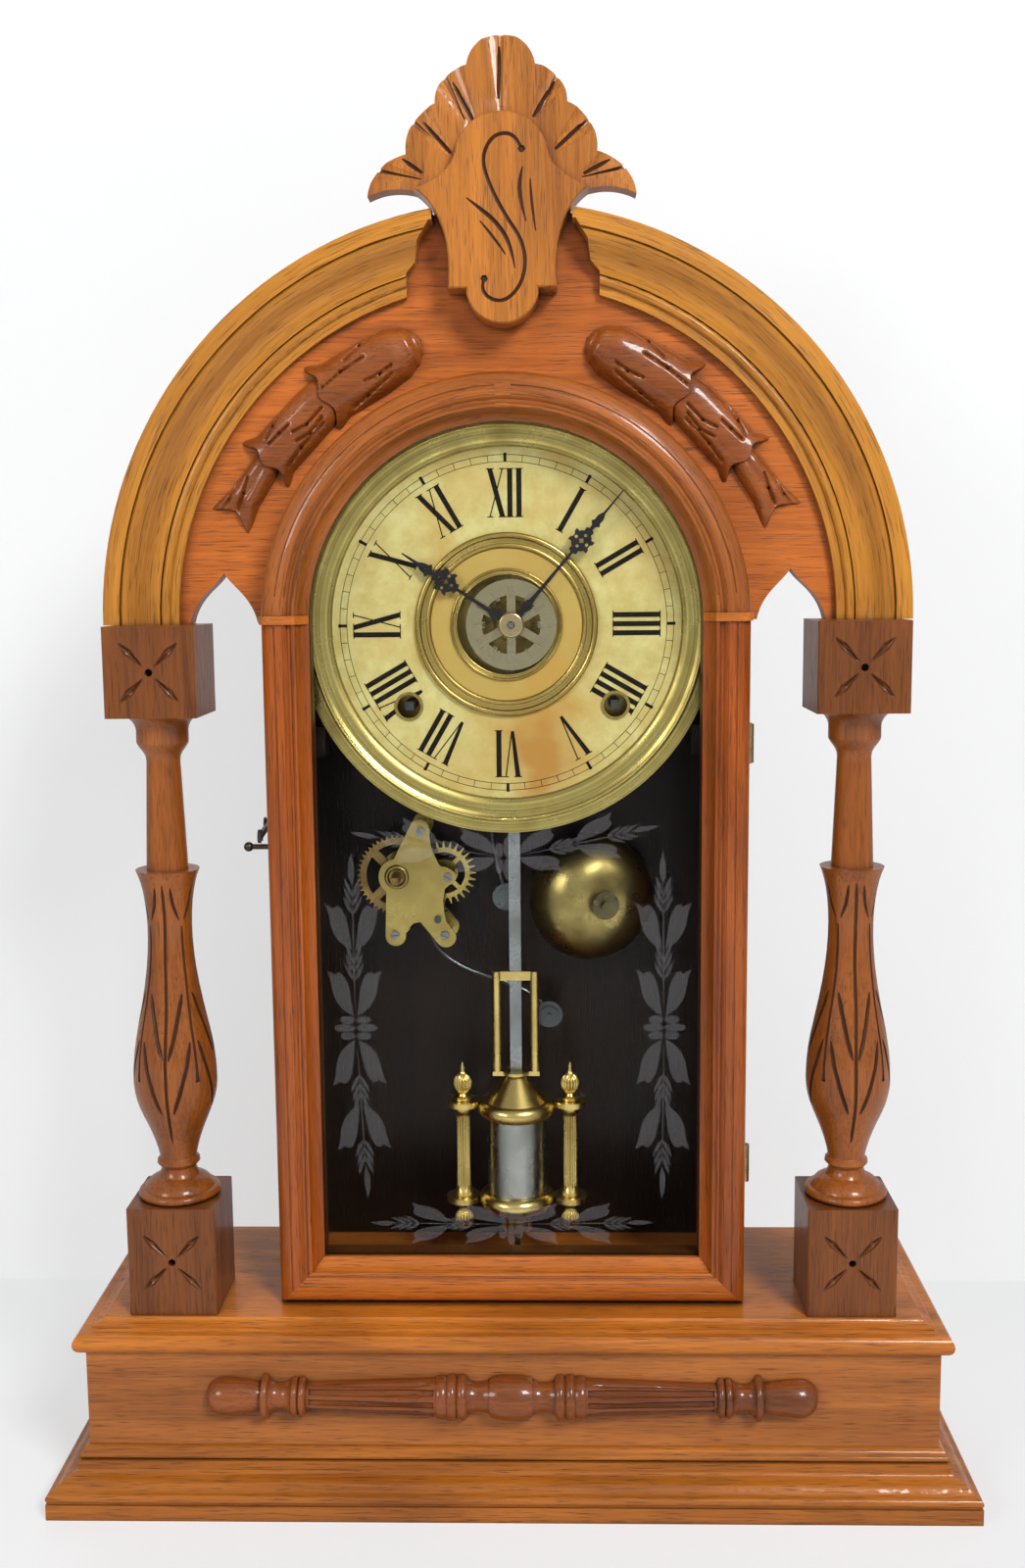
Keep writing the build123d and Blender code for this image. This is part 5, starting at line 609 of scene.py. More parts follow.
# The crest's shield is sawn from the same pale walnut as the fan behind it. It carries an S scroll that ends
# in two drilled holes, with leaf cuts across it, all incised with the same small gouge.
crest_walnut = walnut("walnut_crest", (0.62, 0.215, 0.028), (0.186, 0.054, 0.0065), "up", 0.35, 3.9)
dress(crest_walnut, "crest_fan", "crest_shield")
shield_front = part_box("crest_shield")[0][1] / mm
scroll = ((7.9, 544.1), (6.2, 548.2), (1.6, 550.4), (-4.1, 548.3), (-7.6, 540.4), (-4.3, 530.2), (1.6, 519.3),
          (7.6, 510.8), (9.4, 502.4), (7.5, 493.6), (1.3, 487.2), (-5.2, 488.2), (-8.3, 492.6), (-7.0, 496.0))
shield_leaves = (
    ((-13.6, 526.3), (-7.4, 521.6), (-1.5, 516.5), (3.6, 508.5), (5.0, 499.7)),
    ((-8.4, 517.6), (-3.0, 511.4), (1.4, 504.9)),
    ((8.3, 537.6), (6.9, 532.5), (7.2, 525.2), (9.4, 517.2)),
    ((11.2, 533.0), (11.3, 525.2), (13.2, 513.6)),
)
hole_width, leaf_cut_width, scroll_width = 1.5, 1.0, 0.85


def on_shield(spots):
    return [(across, shield_front, up) for across, up in spots]


hole_rods = [gouge([(across, shield_front - 1, up), (across, shield_front + 1, up)], hole_width, 1, 1)
             for across, up in (scroll[0], scroll[-1])]
leaf_rods = [gouge(on_shield(spots), leaf_cut_width) for spots in shield_leaves]
scroll_rods = [gouge(on_shield(scroll), scroll_width, 0.8, 0.8)]
# The scroll, the holes and the leaf cuts have near-black walls: dirt and painted shade.
shield = carved("crest_shield", "carved_shield",
                (scroll_rods, cut_walls_dirt_and_shade), (hole_rods, cut_walls_dirt_and_shade), (leaf_rods, cut_walls_dirt_and_shade))
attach(shield, "case")

# The fan behind the shield: each of its seven lobes is dished with a wide gouge, deepest at its edge, and has
# one cut down its middle.
fan_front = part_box("crest_fan")[0][1] / mm
fan_cuts = (
    ((-0.6, 584.0), (-0.7, 564.0)), ((-18.7, 570.8), (-10.8, 556.1)), ((20.8, 570.8), (12.4, 557.0)),
    ((-30.3, 556.2), (-19.4, 544.0)), ((32.7, 556.0), (20.8, 545.0)), ((-38.6, 542.5), (-30.8, 536.9)),
    ((42.1, 541.2), (31.8, 535.8)),
)
dish_wide, dish_deep, dish_foot, foot_deep, past_rim, line_width = 13.0, 3.4, 3.0, 0.7, 7, 0.95
dish_rods = []
for edge, foot in fan_cuts:
    way = (Vector(edge) - Vector(foot)).normalized()
    rim = Vector(edge) + way * past_rim
    dish_rods.append(gouge(((rim.x, fan_front - dish_wide + dish_deep, rim.y),
                            (foot[0], fan_front - dish_foot + foot_deep, foot[1])),
                           dish_wide, 1, dish_foot / dish_wide, 10))
fan = carved("crest_fan", "dished_fan", *(([rod], crest_walnut) for rod in dish_rods))
bpy.context.view_layer.update()
line_rods = [gouge([front_of(fan, across, up) for across, up in closely(spots, 3)],
                   line_width, 0.4, 0.7) for spots in fan_cuts]
# The middle lines of the lobes have near-black walls, for dirt and painted shade; the dishes keep the crest's
# walnut.
cut_with(fan, line_rods, cut_walls_dirt_and_shade)
smooth(fan, 35)
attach(fan, "case")

# The case behind the door: thin oiled sides, a bent top and a plain back board, nailed up. Inside, the boards
# are painted nearly black, for their age and for the shade inside the case; the back board's outer face is a
# plain middle brown.
case_walnut = walnut("walnut_case", (0.161, 0.055, 0.01), (0.0475, 0.0158, 0.0036), "up", 0.2, 5.1, 0.2)
back_walnut_age_and_shade = walnut("back_board_age_and_painted_shade", (0.016, 0.008, 0.004), (0.006, 0.0035, 0.002), "up", 0.3, 5.6, 0.1)
dress(case_walnut, "case_sides", "case_top_arch", "glass_slips")
dress(back_walnut_age_and_shade, "back_board", "movement_battens", "dial_cleats")
tree = back_walnut_age_and_shade.node_tree
shader = tree.nodes["Principled BSDF"]
# The near-black inside colour is age and painted shade together; only the outer face gets plain brown.
inside_age_and_shade_colour = shader.inputs["Base Color"].links[0].from_socket
place = object_place(tree)
outer_wood = grained(tree, place, (0.23, 0.105, 0.035), (0.09, 0.037, 0.012), "up", 0.4)
depth = put(tree, "ShaderNodeSeparateXYZ", {0: place}).outputs[1]
outside = work(tree, "GREATER_THAN", depth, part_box("back_board")[1][1] - 0.0005)
feed(tree, shader, {"Base Color": blend(tree, outside, inside_age_and_shade_colour, outer_wood["Color"])})

# The door's frame is one moulding with three fine grooves: two stiles, a mitred rail and two halves of the
# arch, with a collar bead over each joint between stile and arch.
door_walnut = walnut("walnut_door_stiles", (0.45, 0.1, 0.009), (0.13, 0.026, 0.0028), "up", 0.35, 6.2, 0.6)
door_across = walnut("walnut_door_rail", (0.68, 0.19, 0.022), (0.216, 0.051, 0.006), "across", 0.35, 6.7, 0.6)
door_round = walnut("walnut_door_arch", (0.45, 0.125, 0.014), (0.143, 0.034, 0.004), "round", 0.4, 7.1, 0.6)
dress(door_across, "door_collars")
quirks, quirk_width, door_half_width, door_low_edge = (91.6, 87.9, 84.6), 0.42, 97.5, 78.4


def quirk_line(node, spots):
    """A fine groove that follows the front of a door member."""
    line = []
    for across, up in spots:
        found = nodes[node].ray_cast(Vector((across, -60, up)) * mm, Vector((0, 1, 0)))
        if found[0]:
            line.append(found[1] * 1000)
    return gouge(line, quirk_width, 1, 1)


door_parts = {"door_stiles": [], "door_bottom_rail": [], "door_arch_halves": []}
for reach in quirks:
    groove_up = door_low_edge + door_half_width - reach
    stile_run = arch_line - groove_up - 2
    for side in (-1, 1):
        door_parts["door_stiles"].append(quirk_line("door_stiles", [
            (side * reach, groove_up + 1 + stile_run * step / 8) for step in range(9)]))
        door_parts["door_arch_halves"].append(quirk_line("door_arch_halves", [
            (side * reach * math.sin(math.radians(angle)), arch_line + reach * math.cos(math.radians(angle)))
            for angle in range(2, 86, 3)]))
    door_parts["door_bottom_rail"].append(quirk_line("door_bottom_rail", [
        ((reach - 1) * step / 6, groove_up) for step in range(-6, 7)]))
for (node, rods), finish in zip(door_parts.items(), (door_walnut, door_across, door_round)):
    dress(finish, node)
    member = carved(node, "moulded_" + node, (rods, finish))
    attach(member, "door")


# The door swings on two brass butt hinges at its right, and an iron hook on the left of the case holds it.
# All the brass of the clock is browned and spotted with age; one patina group serves every finish of it.
def noise(tree, place, scale, detail=2, roughness=0.5):
    return put(tree, "ShaderNodeTexNoise", {"Vector": place, "Scale": scale, "Detail": detail,
                                            "Roughness": roughness}).outputs[0]


def brass_patina():
    """Shader group: the colour, roughness and height of old brass."""
    group, given, sent = new_group(
        "brass_patina", {"Place": "Vector", "Clean": "Color", "Browned": "Color", "Age": "Float"},
        {"Color": "Color", "Roughness": "Float", "Height": "Float"})
    cloudy = spread(group, noise(group, given["Place"], 60, 4), 0.35, 0.7)
    specks = noise(group, given["Place"], 900)
    dull = work(group, "MAXIMUM", cloudy, spread(group, specks, 0.55, 0.75, 0, 0.5))
    aged = work(group, "MULTIPLY", dull, given["Age"])
    feed(group, sent, {"Color": blend(group, aged, given["Clean"], given["Browned"]),
                       "Roughness": spread(group, aged, 0, 1, 0.22, 0.48), "Height": specks})
    return group


dial_height = 0.3616


def from_dial_centre(tree, place):
    """How far a place is from the dial's centre, seen from the front."""
    centred = vector_work(tree, "ADD", place, (0, 0, -dial_height))
    return vector_work(tree, "LENGTH", vector_work(tree, "MULTIPLY", centred, (1, 0, 1)))


def spun_lines():
    """Shader group: the fine lines that spinning leaves round the dial's centre, from 0 to 1."""
    group, given, sent = new_group("spun_lines", {"Place": "Vector"}, {"Line": "Float"})
    turns = work(group, "MULTIPLY", from_dial_centre(group, given[0]), 1100)
    lines = put(group, "ShaderNodeTexNoise", {"W": turns, "Scale": 1, "Detail": 3}, noise_dimensions="1D")
    feed(group, sent, {0: spread(group, lines.outputs[0], 0.35, 0.65)})
    return group


patina_group = brass_patina()
spun_group = spun_lines()


def brass(name, clean, browned, age=0.7, metal=1.0, spun=0.0):
    """An old metal finish, from its clean and its browned colour; spun is how plain its turning lines are."""
    material, tree, shader = new_finish(name)
    place = object_place(tree)
    patina = put(tree, "ShaderNodeGroup", {"Place": place, "Clean": (*clean, 1), "Browned": (*browned, 1),
                                           "Age": age}, node_tree=patina_group).outputs
    bump = put(tree, "ShaderNodeBump", {"Height": patina["Height"], "Strength": 0.06, "Distance": 0.0002})
    colour = patina["Color"]
    if spun:
        line = put(tree, "ShaderNodeGroup", {"Place": place}, node_tree=spun_group).outputs[0]
        line_colour = (*[part * 0.3 for part in browned], 1)
        colour = blend(tree, work(tree, "MULTIPLY", line, spun), colour, line_colour)
    # The brass is darkened towards a deep brown in its corners: dirt and painted shade.
    corner_dirt_shade_colour = [part * 0.25 for part in browned]
    feed(tree, shader, {
        "Base Color": darken_corners_dirt_shade(tree, colour, corner_dirt_shade_colour, 0.003, 0.15, 0.7, 0.85),
        "Roughness": patina["Roughness"],
        "Normal": bump.outputs[0],
        "Metallic": metal,
    })
    return material


hinge_brass = brass("hinge_brass", (0.55, 0.4, 0.16), (0.2, 0.13, 0.06))
hook_metal = brass("hook_metal", (0.1, 0.08, 0.06), (0.03, 0.024, 0.02))
dress(hinge_brass, "hinge_case_leaves", "hinge_door_leaves")
dress(hook_metal, "door_hook", "hook_screw", "door_catch_pin")

# The dial pan and the centre rings are spun from thin brass sheet, and two short grommets line the winding
# holes. The setting disc in the middle is silvered.
pan_brass = brass("spun_pan_brass", (0.74, 0.62, 0.2), (0.4, 0.3, 0.085), 0.8, spun=0.45)
ring_brass = brass("centre_ring_brass", (0.64, 0.48, 0.14), (0.34, 0.23, 0.06), 0.7, spun=0.4)
disc_metal = brass("silvered_disc", (0.5, 0.45, 0.27), (0.28, 0.25, 0.14), 0.7)
dress(pan_brass, "dial_pan")
dress(ring_brass, "dial_centre_rings", "winding_grommets")
dress(disc_metal, "alarm_disc")

# The dial is printed paper glued on a zinc sheet. It is yellowed and mottled, stained orange below the
# centre, and gilt inside the centre rings.
paper, tree, shader = new_finish("dial_paper")
place = object_place(tree)
cream_dark, cream_light, stain_colour = (0.62, 0.5, 0.155, 1), (0.74, 0.68, 0.27, 1), (0.52, 0.25, 0.045, 1)
gilt_colour, patch_colour = (0.55, 0.38, 0.085, 1), (0.6, 0.33, 0.06, 1)
stain_at, gilt_radius = (0.014, 0, 0.308), 0.0314
mottled = spread(tree, noise(tree, place, 110, 5, 0.65), 0.35, 0.65)
cream = blend(tree, mottled, cream_dark, cream_light)
stain_far = vector_work(tree, "LENGTH", vector_work(tree, "SUBTRACT", place, stain_at))
stain_reach = work(tree, "ADD", stain_far, work(tree, "MULTIPLY", noise(tree, place, 45, 3), 0.05))
stained = blend(tree, spread(tree, stain_reach, 0.026, 0.052, 0.95, 0.0), cream, stain_colour)
gilt = spread(tree, from_dial_centre(tree, place), gilt_radius - 0.0002, gilt_radius + 0.0002, 0.9, 0.0)
gilded = blend(tree, gilt, stained, gilt_colour)
patches = spread(tree, noise(tree, place, 26), 0.5, 0.68, 0, 0.6)
feed(tree, shader, {"Base Color": blend(tree, patches, gilded, patch_colour), "Roughness": 0.6,
                    "Specular IOR Level": 0.3})
dress(paper, "dial_face")


# The dial's printing: a minute track of two lines with sixty strokes, a block at each five, and roman
# hours whose feet point to the centre. It is black ink, a hair's breadth proud of the paper.
def inked(name, dark, light, fineness, shine):
    """A print that is worn in fine specks."""
    material, tree, shader = new_finish(name)
    specks = noise(tree, object_place(tree), fineness)
    feed(tree, shader, {"Base Color": blend(tree, specks, (*dark, 1), (*light, 1)),
                        "Specular IOR Level": shine})
    return material


ink = inked("dial_ink", (0.006, 0.005, 0.004), (0.02, 0.016, 0.01), 700, 0.1)
dial_centre = Vector((0, 0, dial_height))
ink_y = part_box("dial_face")[0][1] - 0.00006
strokes = []


def ink_stroke(turn, corners):
    """One printed stroke: a flat plate with its corners at (sideways, outwards) in mm at a clock angle."""
    bpy.ops.mesh.primitive_plane_add(size=1)
    stroke = bpy.context.object
    side = Vector((math.cos(turn), 0, -math.sin(turn)))
    out = Vector((math.sin(turn), 0, math.cos(turn)))
    for corner, (sideways, outwards) in zip(stroke.data.vertices, corners):
        corner.co = dial_centre + side * sideways * mm + out * outwards * mm
        corner.co.y = ink_y
    strokes.append(stroke)


def bar(turn, foot, head, foot_width, head_width):
    """A stroke from a foot to a head, both as (sideways, outwards)."""
    ink_stroke(turn, (
        (foot[0] - foot_width / 2, foot[1]), (foot[0] + foot_width / 2, foot[1]),
        (head[0] - head_width / 2, head[1]), (head[0] + head_width / 2, head[1]),
    ))


hour_foot, hour_head, serif, thick, thin = 43.4, 63.0, 0.42, 2.1, 0.5
wide_serif, thin_serif = 3.3, 2.4
letter_widths = {"I": 3.7, "V": 7.2, "X": 7.4}


def letter(turn, kind, middle):
    """One roman letter of an hour, with its hairline serifs."""
    foot, head = hour_foot + serif, hour_head - serif
    if kind == "I":
        bar(turn, (middle, foot), (middle, head), thick, thick)
        serifs = ((middle, foot, wide_serif), (middle, head, wide_serif))
    elif kind == "V":
        bar(turn, (middle - 0.2, foot), (middle - 2.4, head), thick * 0.6, thick)
        bar(turn, (middle + 0.1, foot), (middle + 2.6, head), thin, thin)
        serifs = ((middle - 2.4, head, wide_serif), (middle + 2.6, head, thin_serif))
    else:
        bar(turn, (middle + 2.5, foot), (middle - 2.5, head), thick, thick)
        bar(turn, (middle - 2.5, foot), (middle + 2.5, head), thin, thin)
        serifs = ((middle + 2.5, foot, wide_serif), (middle - 2.5, foot, thin_serif),
                  (middle - 2.5, head, wide_serif), (middle + 2.5, head, thin_serif))
    for sideways, out, width in serifs:
        outer = out > (hour_foot + hour_head) / 2
        start, end = (out, out + serif) if outer else (out - serif, out)
        ink_stroke(turn, ((sideways - width / 2, start), (sideways + width / 2, start),
                          (sideways - width / 2, end), (sideways + width / 2, end)))


hours = ("XII", "I", "II", "III", "IIII", "V", "VI", "VII", "VIII", "IX", "X", "XI")
for number, hour in enumerate(hours):
    turn = math.radians(30 * number)
    edge = -sum(letter_widths[kind] for kind in hour) / 2
    for kind in hour:
        letter(turn, kind, edge + letter_widths[kind] / 2)
        edge += letter_widths[kind]
hour_letters = one_mesh(strokes, "hour_letters")
small_letters = bpy.data.objects.new("setting_numbers", hour_letters.data.copy())
bpy.context.collection.objects.link(small_letters)
strokes = [hour_letters]
track_inner, track_outer, minute_width, block_widths, block_past = 65.6, 68.4, 0.22, (1.2, 1.3), 0.7
for minute in range(60):
    turn = math.radians(6 * minute)
    if minute % 5:
        bar(turn, (0, track_inner), (0, track_outer), minute_width, minute_width)
    else:
        bar(turn, (0, track_inner), (0, track_outer + block_past), *block_widths)
printing = one_mesh(strokes, "dial_printing")


def thicken(piece, thickness):
    """Gives a flat drawing a back, so that it is a closed sheet."""
    sheet = piece.modifiers.new("sheet", "SOLIDIFY")
    sheet.thickness = thickness
    sheet.offset = 0
    pick(piece)
    bpy.ops.object.modifier_apply(modifier="sheet")


def pin(radius, depth, place, sides=40, turn=0):
    """A cylinder that lies from front to back, at a place in metres."""
    bpy.ops.mesh.primitive_cylinder_add(vertices=sides, radius=radius, depth=depth,
                                        rotation=(math.pi / 2, turn, 0), location=place)
    return bpy.context.object


def ring(radius, wire, place, round_steps, wire_steps):
    """A thin ring that faces the front, with its place in its mesh."""
    bpy.ops.mesh.primitive_torus_add(major_radius=radius, minor_radius=wire, major_segments=round_steps,
                                     minor_segments=wire_steps, rotation=(math.pi / 2, 0, 0), location=place)
    bpy.ops.object.transform_apply(location=True, rotation=True, scale=True)
    return bpy.context.object


drill_length = 0.01
ink_thickness, line_wire, grommet_radius, winding_hole_radius = 0.00004, 0.00011, 0.006, 0.0052
thicken(printing, ink_thickness)
# The winding holes are punched through paper and print alike.
low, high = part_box("winding_grommets")
for hole_x in (low[0] + grommet_radius, high[0] - grommet_radius):
    hole_place = (hole_x, ink_y, (low[2] + high[2]) / 2)
    cut_out(printing, pin(winding_hole_radius, drill_length, hole_place), use_self=True)
line_rings = [ring(radius * mm, line_wire, (0, ink_y, dial_height), 180, 6)
              for radius in (track_inner, track_outer)]
printing = one_mesh([printing, *line_rings], "dial_printing")
printing.data.materials.append(ink)
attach(printing, "case")

# The setting disc turns on the hour pipe and is set to the hour of the alarm by hand. It carries the same
# hours as the dial, stamped at a quarter of their size, with worn filling.
disc_low, disc_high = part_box("alarm_disc")
disc_centre = (Vector(disc_low) + Vector(disc_high)) / 2
small_share = 0.25
for corner in small_letters.data.vertices:
    spot = (corner.co - dial_centre) * small_share
    corner.co = (disc_centre.x + spot.x, disc_low[1] - ink_thickness, disc_centre.z + spot.z)
thicken(small_letters, ink_thickness)
stamped = inked("stamped_numbers", (0.16, 0.14, 0.08), (0.34, 0.3, 0.18), 420, 0.5)
small_letters.data.materials.append(stamped)
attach(small_letters, "alarm_setting")

# The hands are stamped from thin steel and painted black, with a cross of five holes through the middle of
# each. A brass nut holds them on the centre arbor.
hand_black = brass("black_hands", (0.018, 0.017, 0.018), (0.03, 0.022, 0.018), 0.6, 0.4)
nut_brass = brass("nut_brass", (0.62, 0.5, 0.26), (0.36, 0.27, 0.14), 0.6)
hand_axis, boss_radius, hole_radius, side_hole_share = (0.0020, dial_height), 0.0041, 0.0012, 0.55


def drawn(outline):
    """A flat piece with an outline of places in metres."""
    bpy.ops.object.select_all(action="DESELECT")
    bpy.ops.mesh.primitive_circle_add(vertices=len(outline), fill_type="NGON")
    sheet = bpy.context.object
    for corner, place in zip(sheet.data.vertices, outline):
        corner.co = place
    return sheet


def stamped_hand(node, name, body, turn, half, hole_at, hole_half):
    """A stamped hand: its half outline (along, out) in mm is mirrored, thickened and pierced."""
    low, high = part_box(node)
    middle, thickness = (low[1] + high[1]) / 2, high[1] - low[1]
    way = Vector((math.sin(turn), math.cos(turn)))
    side = Vector((-way.y, way.x))

    def at(along, out, depth):
        spot = way * along + side * out
        return hand_axis[0] + spot.x * mm, depth, hand_axis[1] + spot.y * mm

    outline = list(half) + [(along, -out) for along, out in reversed(half)]
    blade = drawn([at(along, out, middle) for along, out in outline])
    thicken(blade, thickness)
    cut_out(blade, pin(hole_radius, drill_length, at(hole_at, 0, low[1]), 4, turn))
    side_hole = side_hole_share * hole_radius
    for along, out in ((-hole_half, 0), (hole_half, 0), (0, hole_half), (0, -hole_half)):
        cut_out(blade, pin(side_hole, drill_length, at(hole_at + along, out, low[1]), 16, turn))
    boss = pin(boss_radius, thickness, at(0, 0, middle))
    bpy.ops.object.transform_apply(location=True, rotation=True, scale=True)
    blade = one_mesh([blade, boss], name)
    blade.data.materials.append(hand_black)
    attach(blade, body)
    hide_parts(node)


minute_half = (
    (2, 1.3), (7.6, 1.2), (9.2, 1.9), (10.6, 2.2), (12.2, 1.2), (14.6, 0.8), (38.0, 0.55), (38.6, 1.9),
    (40.2, 1.7), (40.7, 2.6), (41.5, 3.1), (41.3, 4.7), (42.8, 4.6), (43.4, 3.9), (44.8, 3.9), (45.4, 4.6),
    (46.9, 4.7), (46.7, 3.1), (47.5, 2.6), (48.0, 1.7), (49.6, 1.9), (50.2, 0.7), (51.8, 0.9), (53.0, 2.2),
    (54.0, 1.4), (56.2, 1.5), (58.6, 0.5), (70.1, 0.22),
)
hour_half = (
    (2, 1.4), (5.6, 1.4), (6.8, 2.9), (8.0, 2.5), (10.4, 1.0), (12, 0.75), (26.0, 0.65), (26.6, 2.2),
    (28.0, 1.9), (28.5, 2.8), (29.3, 3.3), (29.1, 4.9), (30.6, 4.8), (31.2, 4.0), (32.6, 4.0), (33.2, 4.8),
    (34.7, 4.9), (34.5, 3.3), (35.3, 2.8), (35.8, 1.9), (37.2, 2.2), (37.8, 0.8), (38.8, 0.9), (40.2, 3.0),
    (41.2, 2.0), (43.2, 1.7), (45.6, 0.65), (53.0, 0.3),
)
stamped_hand("minute_hand", "minute_blade", "minute_hand_set", math.radians(40.5), minute_half, 44.1, 2.7)
stamped_hand("hour_hand", "hour_blade", "hour_hand_set", math.radians(303.5), hour_half, 31.9, 2.8)
dress(nut_brass, "hand_nut")

# The movement is screwed to battens behind the dial: plates and wheels of rolled brass, pillars and arbors
# of bare steel. The great wheels and the hammers are the darkest.
steel = brass("old_steel", (0.32, 0.34, 0.34), (0.17, 0.17, 0.16), 0.7)
hammer_steel = brass("hammer_steel", (0.12, 0.135, 0.135), (0.06, 0.062, 0.06), 0.7)
plate_brass = brass("plate_brass", (0.52, 0.42, 0.13), (0.27, 0.19, 0.055), 0.6)
wheel_brass = brass("wheel_brass", (0.36, 0.26, 0.08), (0.17, 0.11, 0.035), 0.7)
dress(steel, "centre_arbor", "movement_pillars", "verge", "pendulum_rod")
dress(plate_brass, "movement_plates", "escape_wheel")
dress(wheel_brass, "second_wheel", "hour_wheel", "minute_wheel")
dress(hammer_steel, "time_great_wheel", "strike_great_wheel", "strike_hammer")

# The alarm's front plate is sawn as a five-armed star over the two bars of the plates behind it. It is held
# at the ends of its arms by steel screws, and a brass collar stands round the winding square.
dark_brass = brass("dark_brass", (0.3, 0.2, 0.07), (0.13, 0.085, 0.03), 0.7)
dress(plate_brass, "alarm_plates", "alarm_escape_wheel")
dress(dark_brass, "alarm_main_wheel")
dress(hammer_steel, "alarm_hammer")
plate_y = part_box("alarm_plates")[0][1]
star_depth, star_thickness = 0.0005, 0.0013
winding_square, square_hole, collar_radius, collar_wire = (-0.050, 0.251), 0.0034, 0.0044, 0.0009
star_ends = (
    ((-39.4, 271.2), 4.3, 205, -25),
    ((-27.6, 250.9), 3.5, 110, -75),
    ((-29.2, 224.8), 3.7, 65, -160),
    ((-51.2, 225.1), 3.8, -20, -245),
    ((-50.2, 250.4), 6.1, -110, -255),
)
star_flanks = (
    ((-34.7, 264.4), (-33.0, 259.6), (-31.0, 255.9)),
    ((-29.0, 245.6), (-29.8, 240.4), (-29.2, 233.2)),
    ((-35.3, 228.6), (-37.4, 230.3), (-40.1, 230.8), (-42.8, 230.3), (-45.0, 228.4)),
    ((-51.8, 231.6), (-50.4, 236.0), (-50.2, 241.0)),
    ((-47.9, 256.8), (-45.4, 259.6), (-44.2, 264.6)),
)
outline = []
for (middle, radius, first, last), flank in zip(star_ends, star_flanks):
    for step in range(9):
        angle = math.radians(first + (last - first) * step / 8)
        outline.append((middle[0] + radius * math.cos(angle), middle[1] + radius * math.sin(angle)))
    outline += flank
star = drawn([(across * mm, plate_y + star_depth, up * mm) for across, up in outline])
thicken(star, star_thickness)
cut_out(star, pin(square_hole, drill_length, (winding_square[0], plate_y, winding_square[1]), 32))
collar_place = (winding_square[0], plate_y - collar_wire, winding_square[1])
collar = ring(collar_radius, collar_wire, collar_place, 40, 12)
star = one_mesh([star, collar], "alarm_star_plate")
smooth(star, 35)
star.data.materials.append(plate_brass)
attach(star, "case")

screw_radius, screw_height, screw_y, screw_top = 0.0019, 0.0014, plate_y - 0.0008, plate_y - 0.0015
screws = []
for middle, radius, first, last in star_ends[:4]:
    screw = pin(screw_radius, screw_height, (middle[0] * mm, screw_y, middle[1] * mm), 24)
    bpy.ops.mesh.primitive_cube_add(size=1, location=(middle[0] * mm, screw_top, middle[1] * mm))
    slot_cut = bpy.context.object
    slot_cut.scale = (0.005, 0.0009, 0.0005)
    slot_cut.rotation_euler = (0, math.radians(first / 3), 0)
    cut_out(screw, slot_cut)
    eased = screw.modifiers.new("eased", "BEVEL")
    eased.width = 0.0003
    eased.segments = 2
    bpy.ops.object.modifier_apply(modifier="eased")
    bpy.ops.object.transform_apply(location=True, rotation=True, scale=True)
    screws.append(screw)
screws = one_mesh(screws, "alarm_plate_screws")
smooth(screws, 35)
screws.data.materials.append(steel)
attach(screws, "case")

# The bell is a brass cup, browned all over, on a short dark post that stands on the back board.
# Both hammers strike it.
bell_metal = brass("bell_metal", (0.46, 0.37, 0.13), (0.14, 0.105, 0.035), 0.85)
post_brass = brass("bell_post_brass", (0.14, 0.12, 0.06), (0.07, 0.06, 0.03), 0.6)
dress(bell_metal, "bell")
dress(post_brass, "bell_post")

# The bob: bright brass caps and tubes round a silvered cylinder, with a column on each side. The side columns
# are turned in one with their finials, and reeded along the shaft and the buds.
bob_brass = brass("bob_brass", (0.74, 0.58, 0.2), (0.42, 0.28, 0.08), 0.5)
silver = brass("silvered_tube", (0.42, 0.44, 0.4), (0.26, 0.27, 0.24), 0.5)
dress(bob_brass, "bob_frame", "rating_nut")
dress(silver, "bob_cylinder")
# The profile goes from the lower bud's tip to the spike on top, as (radius, height).
reeded_profile = (
    (0.1, 96.6), (1.6, 96.8), (2.9, 97.6), (3.9, 98.9), (4.3, 101), (3.9, 103), (2.7, 104.6), (2.1, 106),
    (2.5, 107.4), (4.3, 107.8), (4.4, 108.4), (4.4, 109.4), (2.4, 109.6), (2.4, 111.8), (4.4, 112),
    (4.4, 113.5), (3.7, 114.6), (3.3, 116), (3.15, 117), (3.15, 148), (3.3, 148.6), (3.8, 149.8),
    (4.4, 150.8), (4.4, 153), (2.4, 153.2), (2.4, 155.2), (4.4, 155.4), (4.4, 156.3), (2.4, 157.1),
    (1.9, 158.1), (2.5, 158.9), (3.5, 160.2), (4.1, 162.5), (3.9, 164.2), (3, 165.9), (1.7, 167),
    (1.3, 167.6), (1.2, 168.4), (0.7, 170.2), (0.1, 172),
)
reeded_spans = ((97.5, 105), (116.5, 148.5), (158.6, 166.6))
reeds, reed_steps, bob_centre, bob_column_reach = 16, 128, (2.0, 12.0), 23.4
bob_columns = [turned(reeded_profile, (bob_centre[0] + side * bob_column_reach, bob_centre[1]), reed_steps,
                      reeds, reeded_spans) for side in (-1, 1)]
bob_columns = one_mesh(bob_columns, "reeded_side_columns")
smooth(bob_columns, 40)
bob_columns.data.materials.append(bob_brass)
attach(bob_columns, "bob")
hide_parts("bob_side_columns")

# The door's pane: one sheet of old clear glass behind the frame, held by wooden slips. It shows only where
# it is seen along its face.
glass, tree, shader = new_finish("door_glass")
edge_on = put(tree, "ShaderNodeLayerWeight", {"Blend": 0.3}).outputs["Fresnel"]
feed(tree, shader, {"Alpha": spread(tree, edge_on, 0.02, 0.6, 0.012, 0.35),
                    "Base Color": (0.01, 0.012, 0.012, 1), "Roughness": 0.03})
dress(glass, "door_glass")

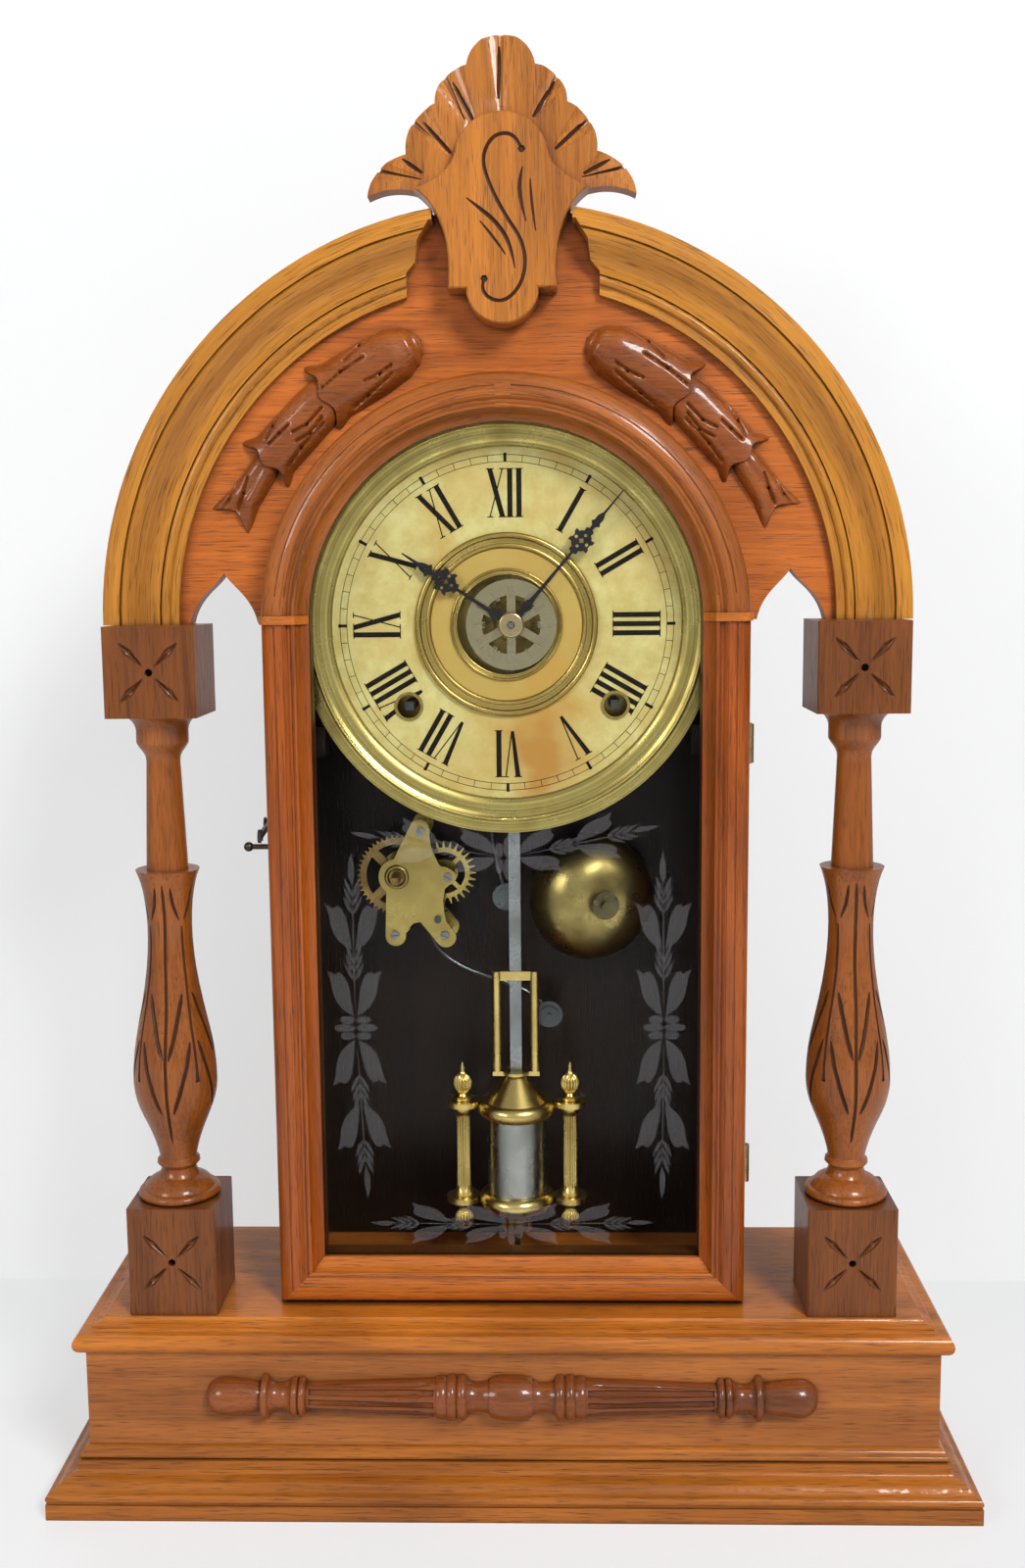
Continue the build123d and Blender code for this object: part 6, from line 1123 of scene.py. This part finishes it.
# The etched border: a thin stem along each side of the pane, with a bud of six petals in the middle of it and
# pairs of broad leaves and small strokes that point away from the bud. It is frosted into the front face.
frost, tree, shader = new_finish("etched_frost")
feed(tree, shader, {"Alpha": spread(tree, noise(tree, object_place(tree), 1400, 1), 0.3, 0.7, 0.022, 0.03),
                    "Base Color": (0.85, 0.83, 0.86, 1), "Roughness": 0.8})
frost_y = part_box("door_glass")[0][1] - 0.00003
frosted = []
leaf_outline = (
    (0, 0), (0.08, 0.3), (0.2, 0.6), (0.36, 0.84), (0.55, 0.97), (0.74, 1.0), (0.88, 1.04), (1.04, 1.16),
    (1.0, 0.94), (0.93, 0.76), (0.98, 0.58), (0.97, 0.42), (0.88, 0.26), (0.74, 0.13), (0.55, 0.07),
    (0.3, 0.03),
)
stroke_outline = ((0, 0), (0.3, 0.5), (0.7, 0.42), (1, 0), (0.6, -0.3), (0.25, -0.3))
petal_outline = ((0, 0), (0.15, 0.4), (0.5, 0.55), (0.85, 0.4), (1, 0), (0.85, -0.4), (0.5, -0.55),
                 (0.15, -0.4))
leaf_starts, leaf_long, leaf_wide, leaf_turn = (5, 33), 19.5, 7.8, 5
end_long, end_wide, small_long, small_wide, small_apart = 14, 3.2, 9, 2, 3.6
petal_long, petal_short, petal_wide, petal_apart = 9.2, 6.6, 3.2, 3.4


def etch(shape, place, way, length, width):
    """One etched mark: an outline laid at a place in mm, along a direction; a negative width mirrors it."""
    across = Vector((-way.y, way.x))
    spots = [place + way * along * length + across * out * width for along, out in shape]
    mark = drawn([(spot.x * mm, frost_y, spot.y * mm) for spot in spots])
    bpy.ops.object.mode_set(mode="EDIT")
    bpy.ops.mesh.select_all(action="SELECT")
    bpy.ops.mesh.normals_make_consistent(inside=False)
    bpy.ops.object.mode_set(mode="OBJECT")
    frosted.append(mark)


def turned_way(way, degrees):
    angle = math.radians(degrees)
    return Vector((way.x * math.cos(angle) - way.y * math.sin(angle),
                   way.x * math.sin(angle) + way.y * math.cos(angle)))


def sprig(bud, tip, size):
    """Half a side of the border: its stem, leaf pairs, small strokes and end leaf, from a bud to the tip."""
    bud, tip = Vector(bud), Vector(tip)
    way = (tip - bud).normalized()
    length = (tip - bud).length
    etch(stroke_outline, bud + way * 4 * size, way, length - 12 * size, 0.7)
    etch(stroke_outline, tip - way * end_long * size, way, end_long * size, end_wide * size)
    for first in leaf_starts:
        for hand in (-1, 1):
            beside = Vector((-way.y, way.x)) * hand * 0.7 * size
            etch(leaf_outline, bud + way * first * size + beside, turned_way(way, leaf_turn * hand),
                 leaf_long * size, hand * leaf_wide * size)
            for step in range(3):
                start = bud + way * (first + 15 + small_apart * step) * size
                etch(stroke_outline, start, turned_way(way, (26 - 3 * step) * hand), small_long * size,
                     hand * small_wide * size)


left_bud, right_bud, lower_bud, upper_bud = (-63.7, 196), (63.9, 196), (0, 110.6), (0, 267.2)
borders = (
    (left_bud, (-64, 270), 1), (left_bud, (-60.2, 122), 1),
    (right_bud, (63.4, 270), 1), (right_bud, (63.2, 122), 1),
    (lower_bud, (-59.5, 111.4), 0.8), (lower_bud, (59.8, 111.4), 0.8),
    (upper_bud, (-64.3, 278.2), 0.86), (upper_bud, (62, 280.2), 0.86),
)
for bud, tip, size in borders:
    sprig(bud, tip, size)
for bud in (left_bud, right_bud, lower_bud, upper_bud):
    upright = bud in (left_bud, right_bud)
    for row in (-1, 0, 1):
        for hand in (-1, 1):
            way = Vector((hand, 0)) if upright else Vector((0, hand))
            shift = Vector((0, row * petal_apart)) if upright else Vector((row * petal_apart, 0))
            etch(petal_outline, Vector(bud) + shift, way, petal_short if row else petal_long, petal_wide)
border = one_mesh(frosted, "etched_border")
thicken(border, 0.00002)
border.data.materials.append(frost)
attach(border, "door")
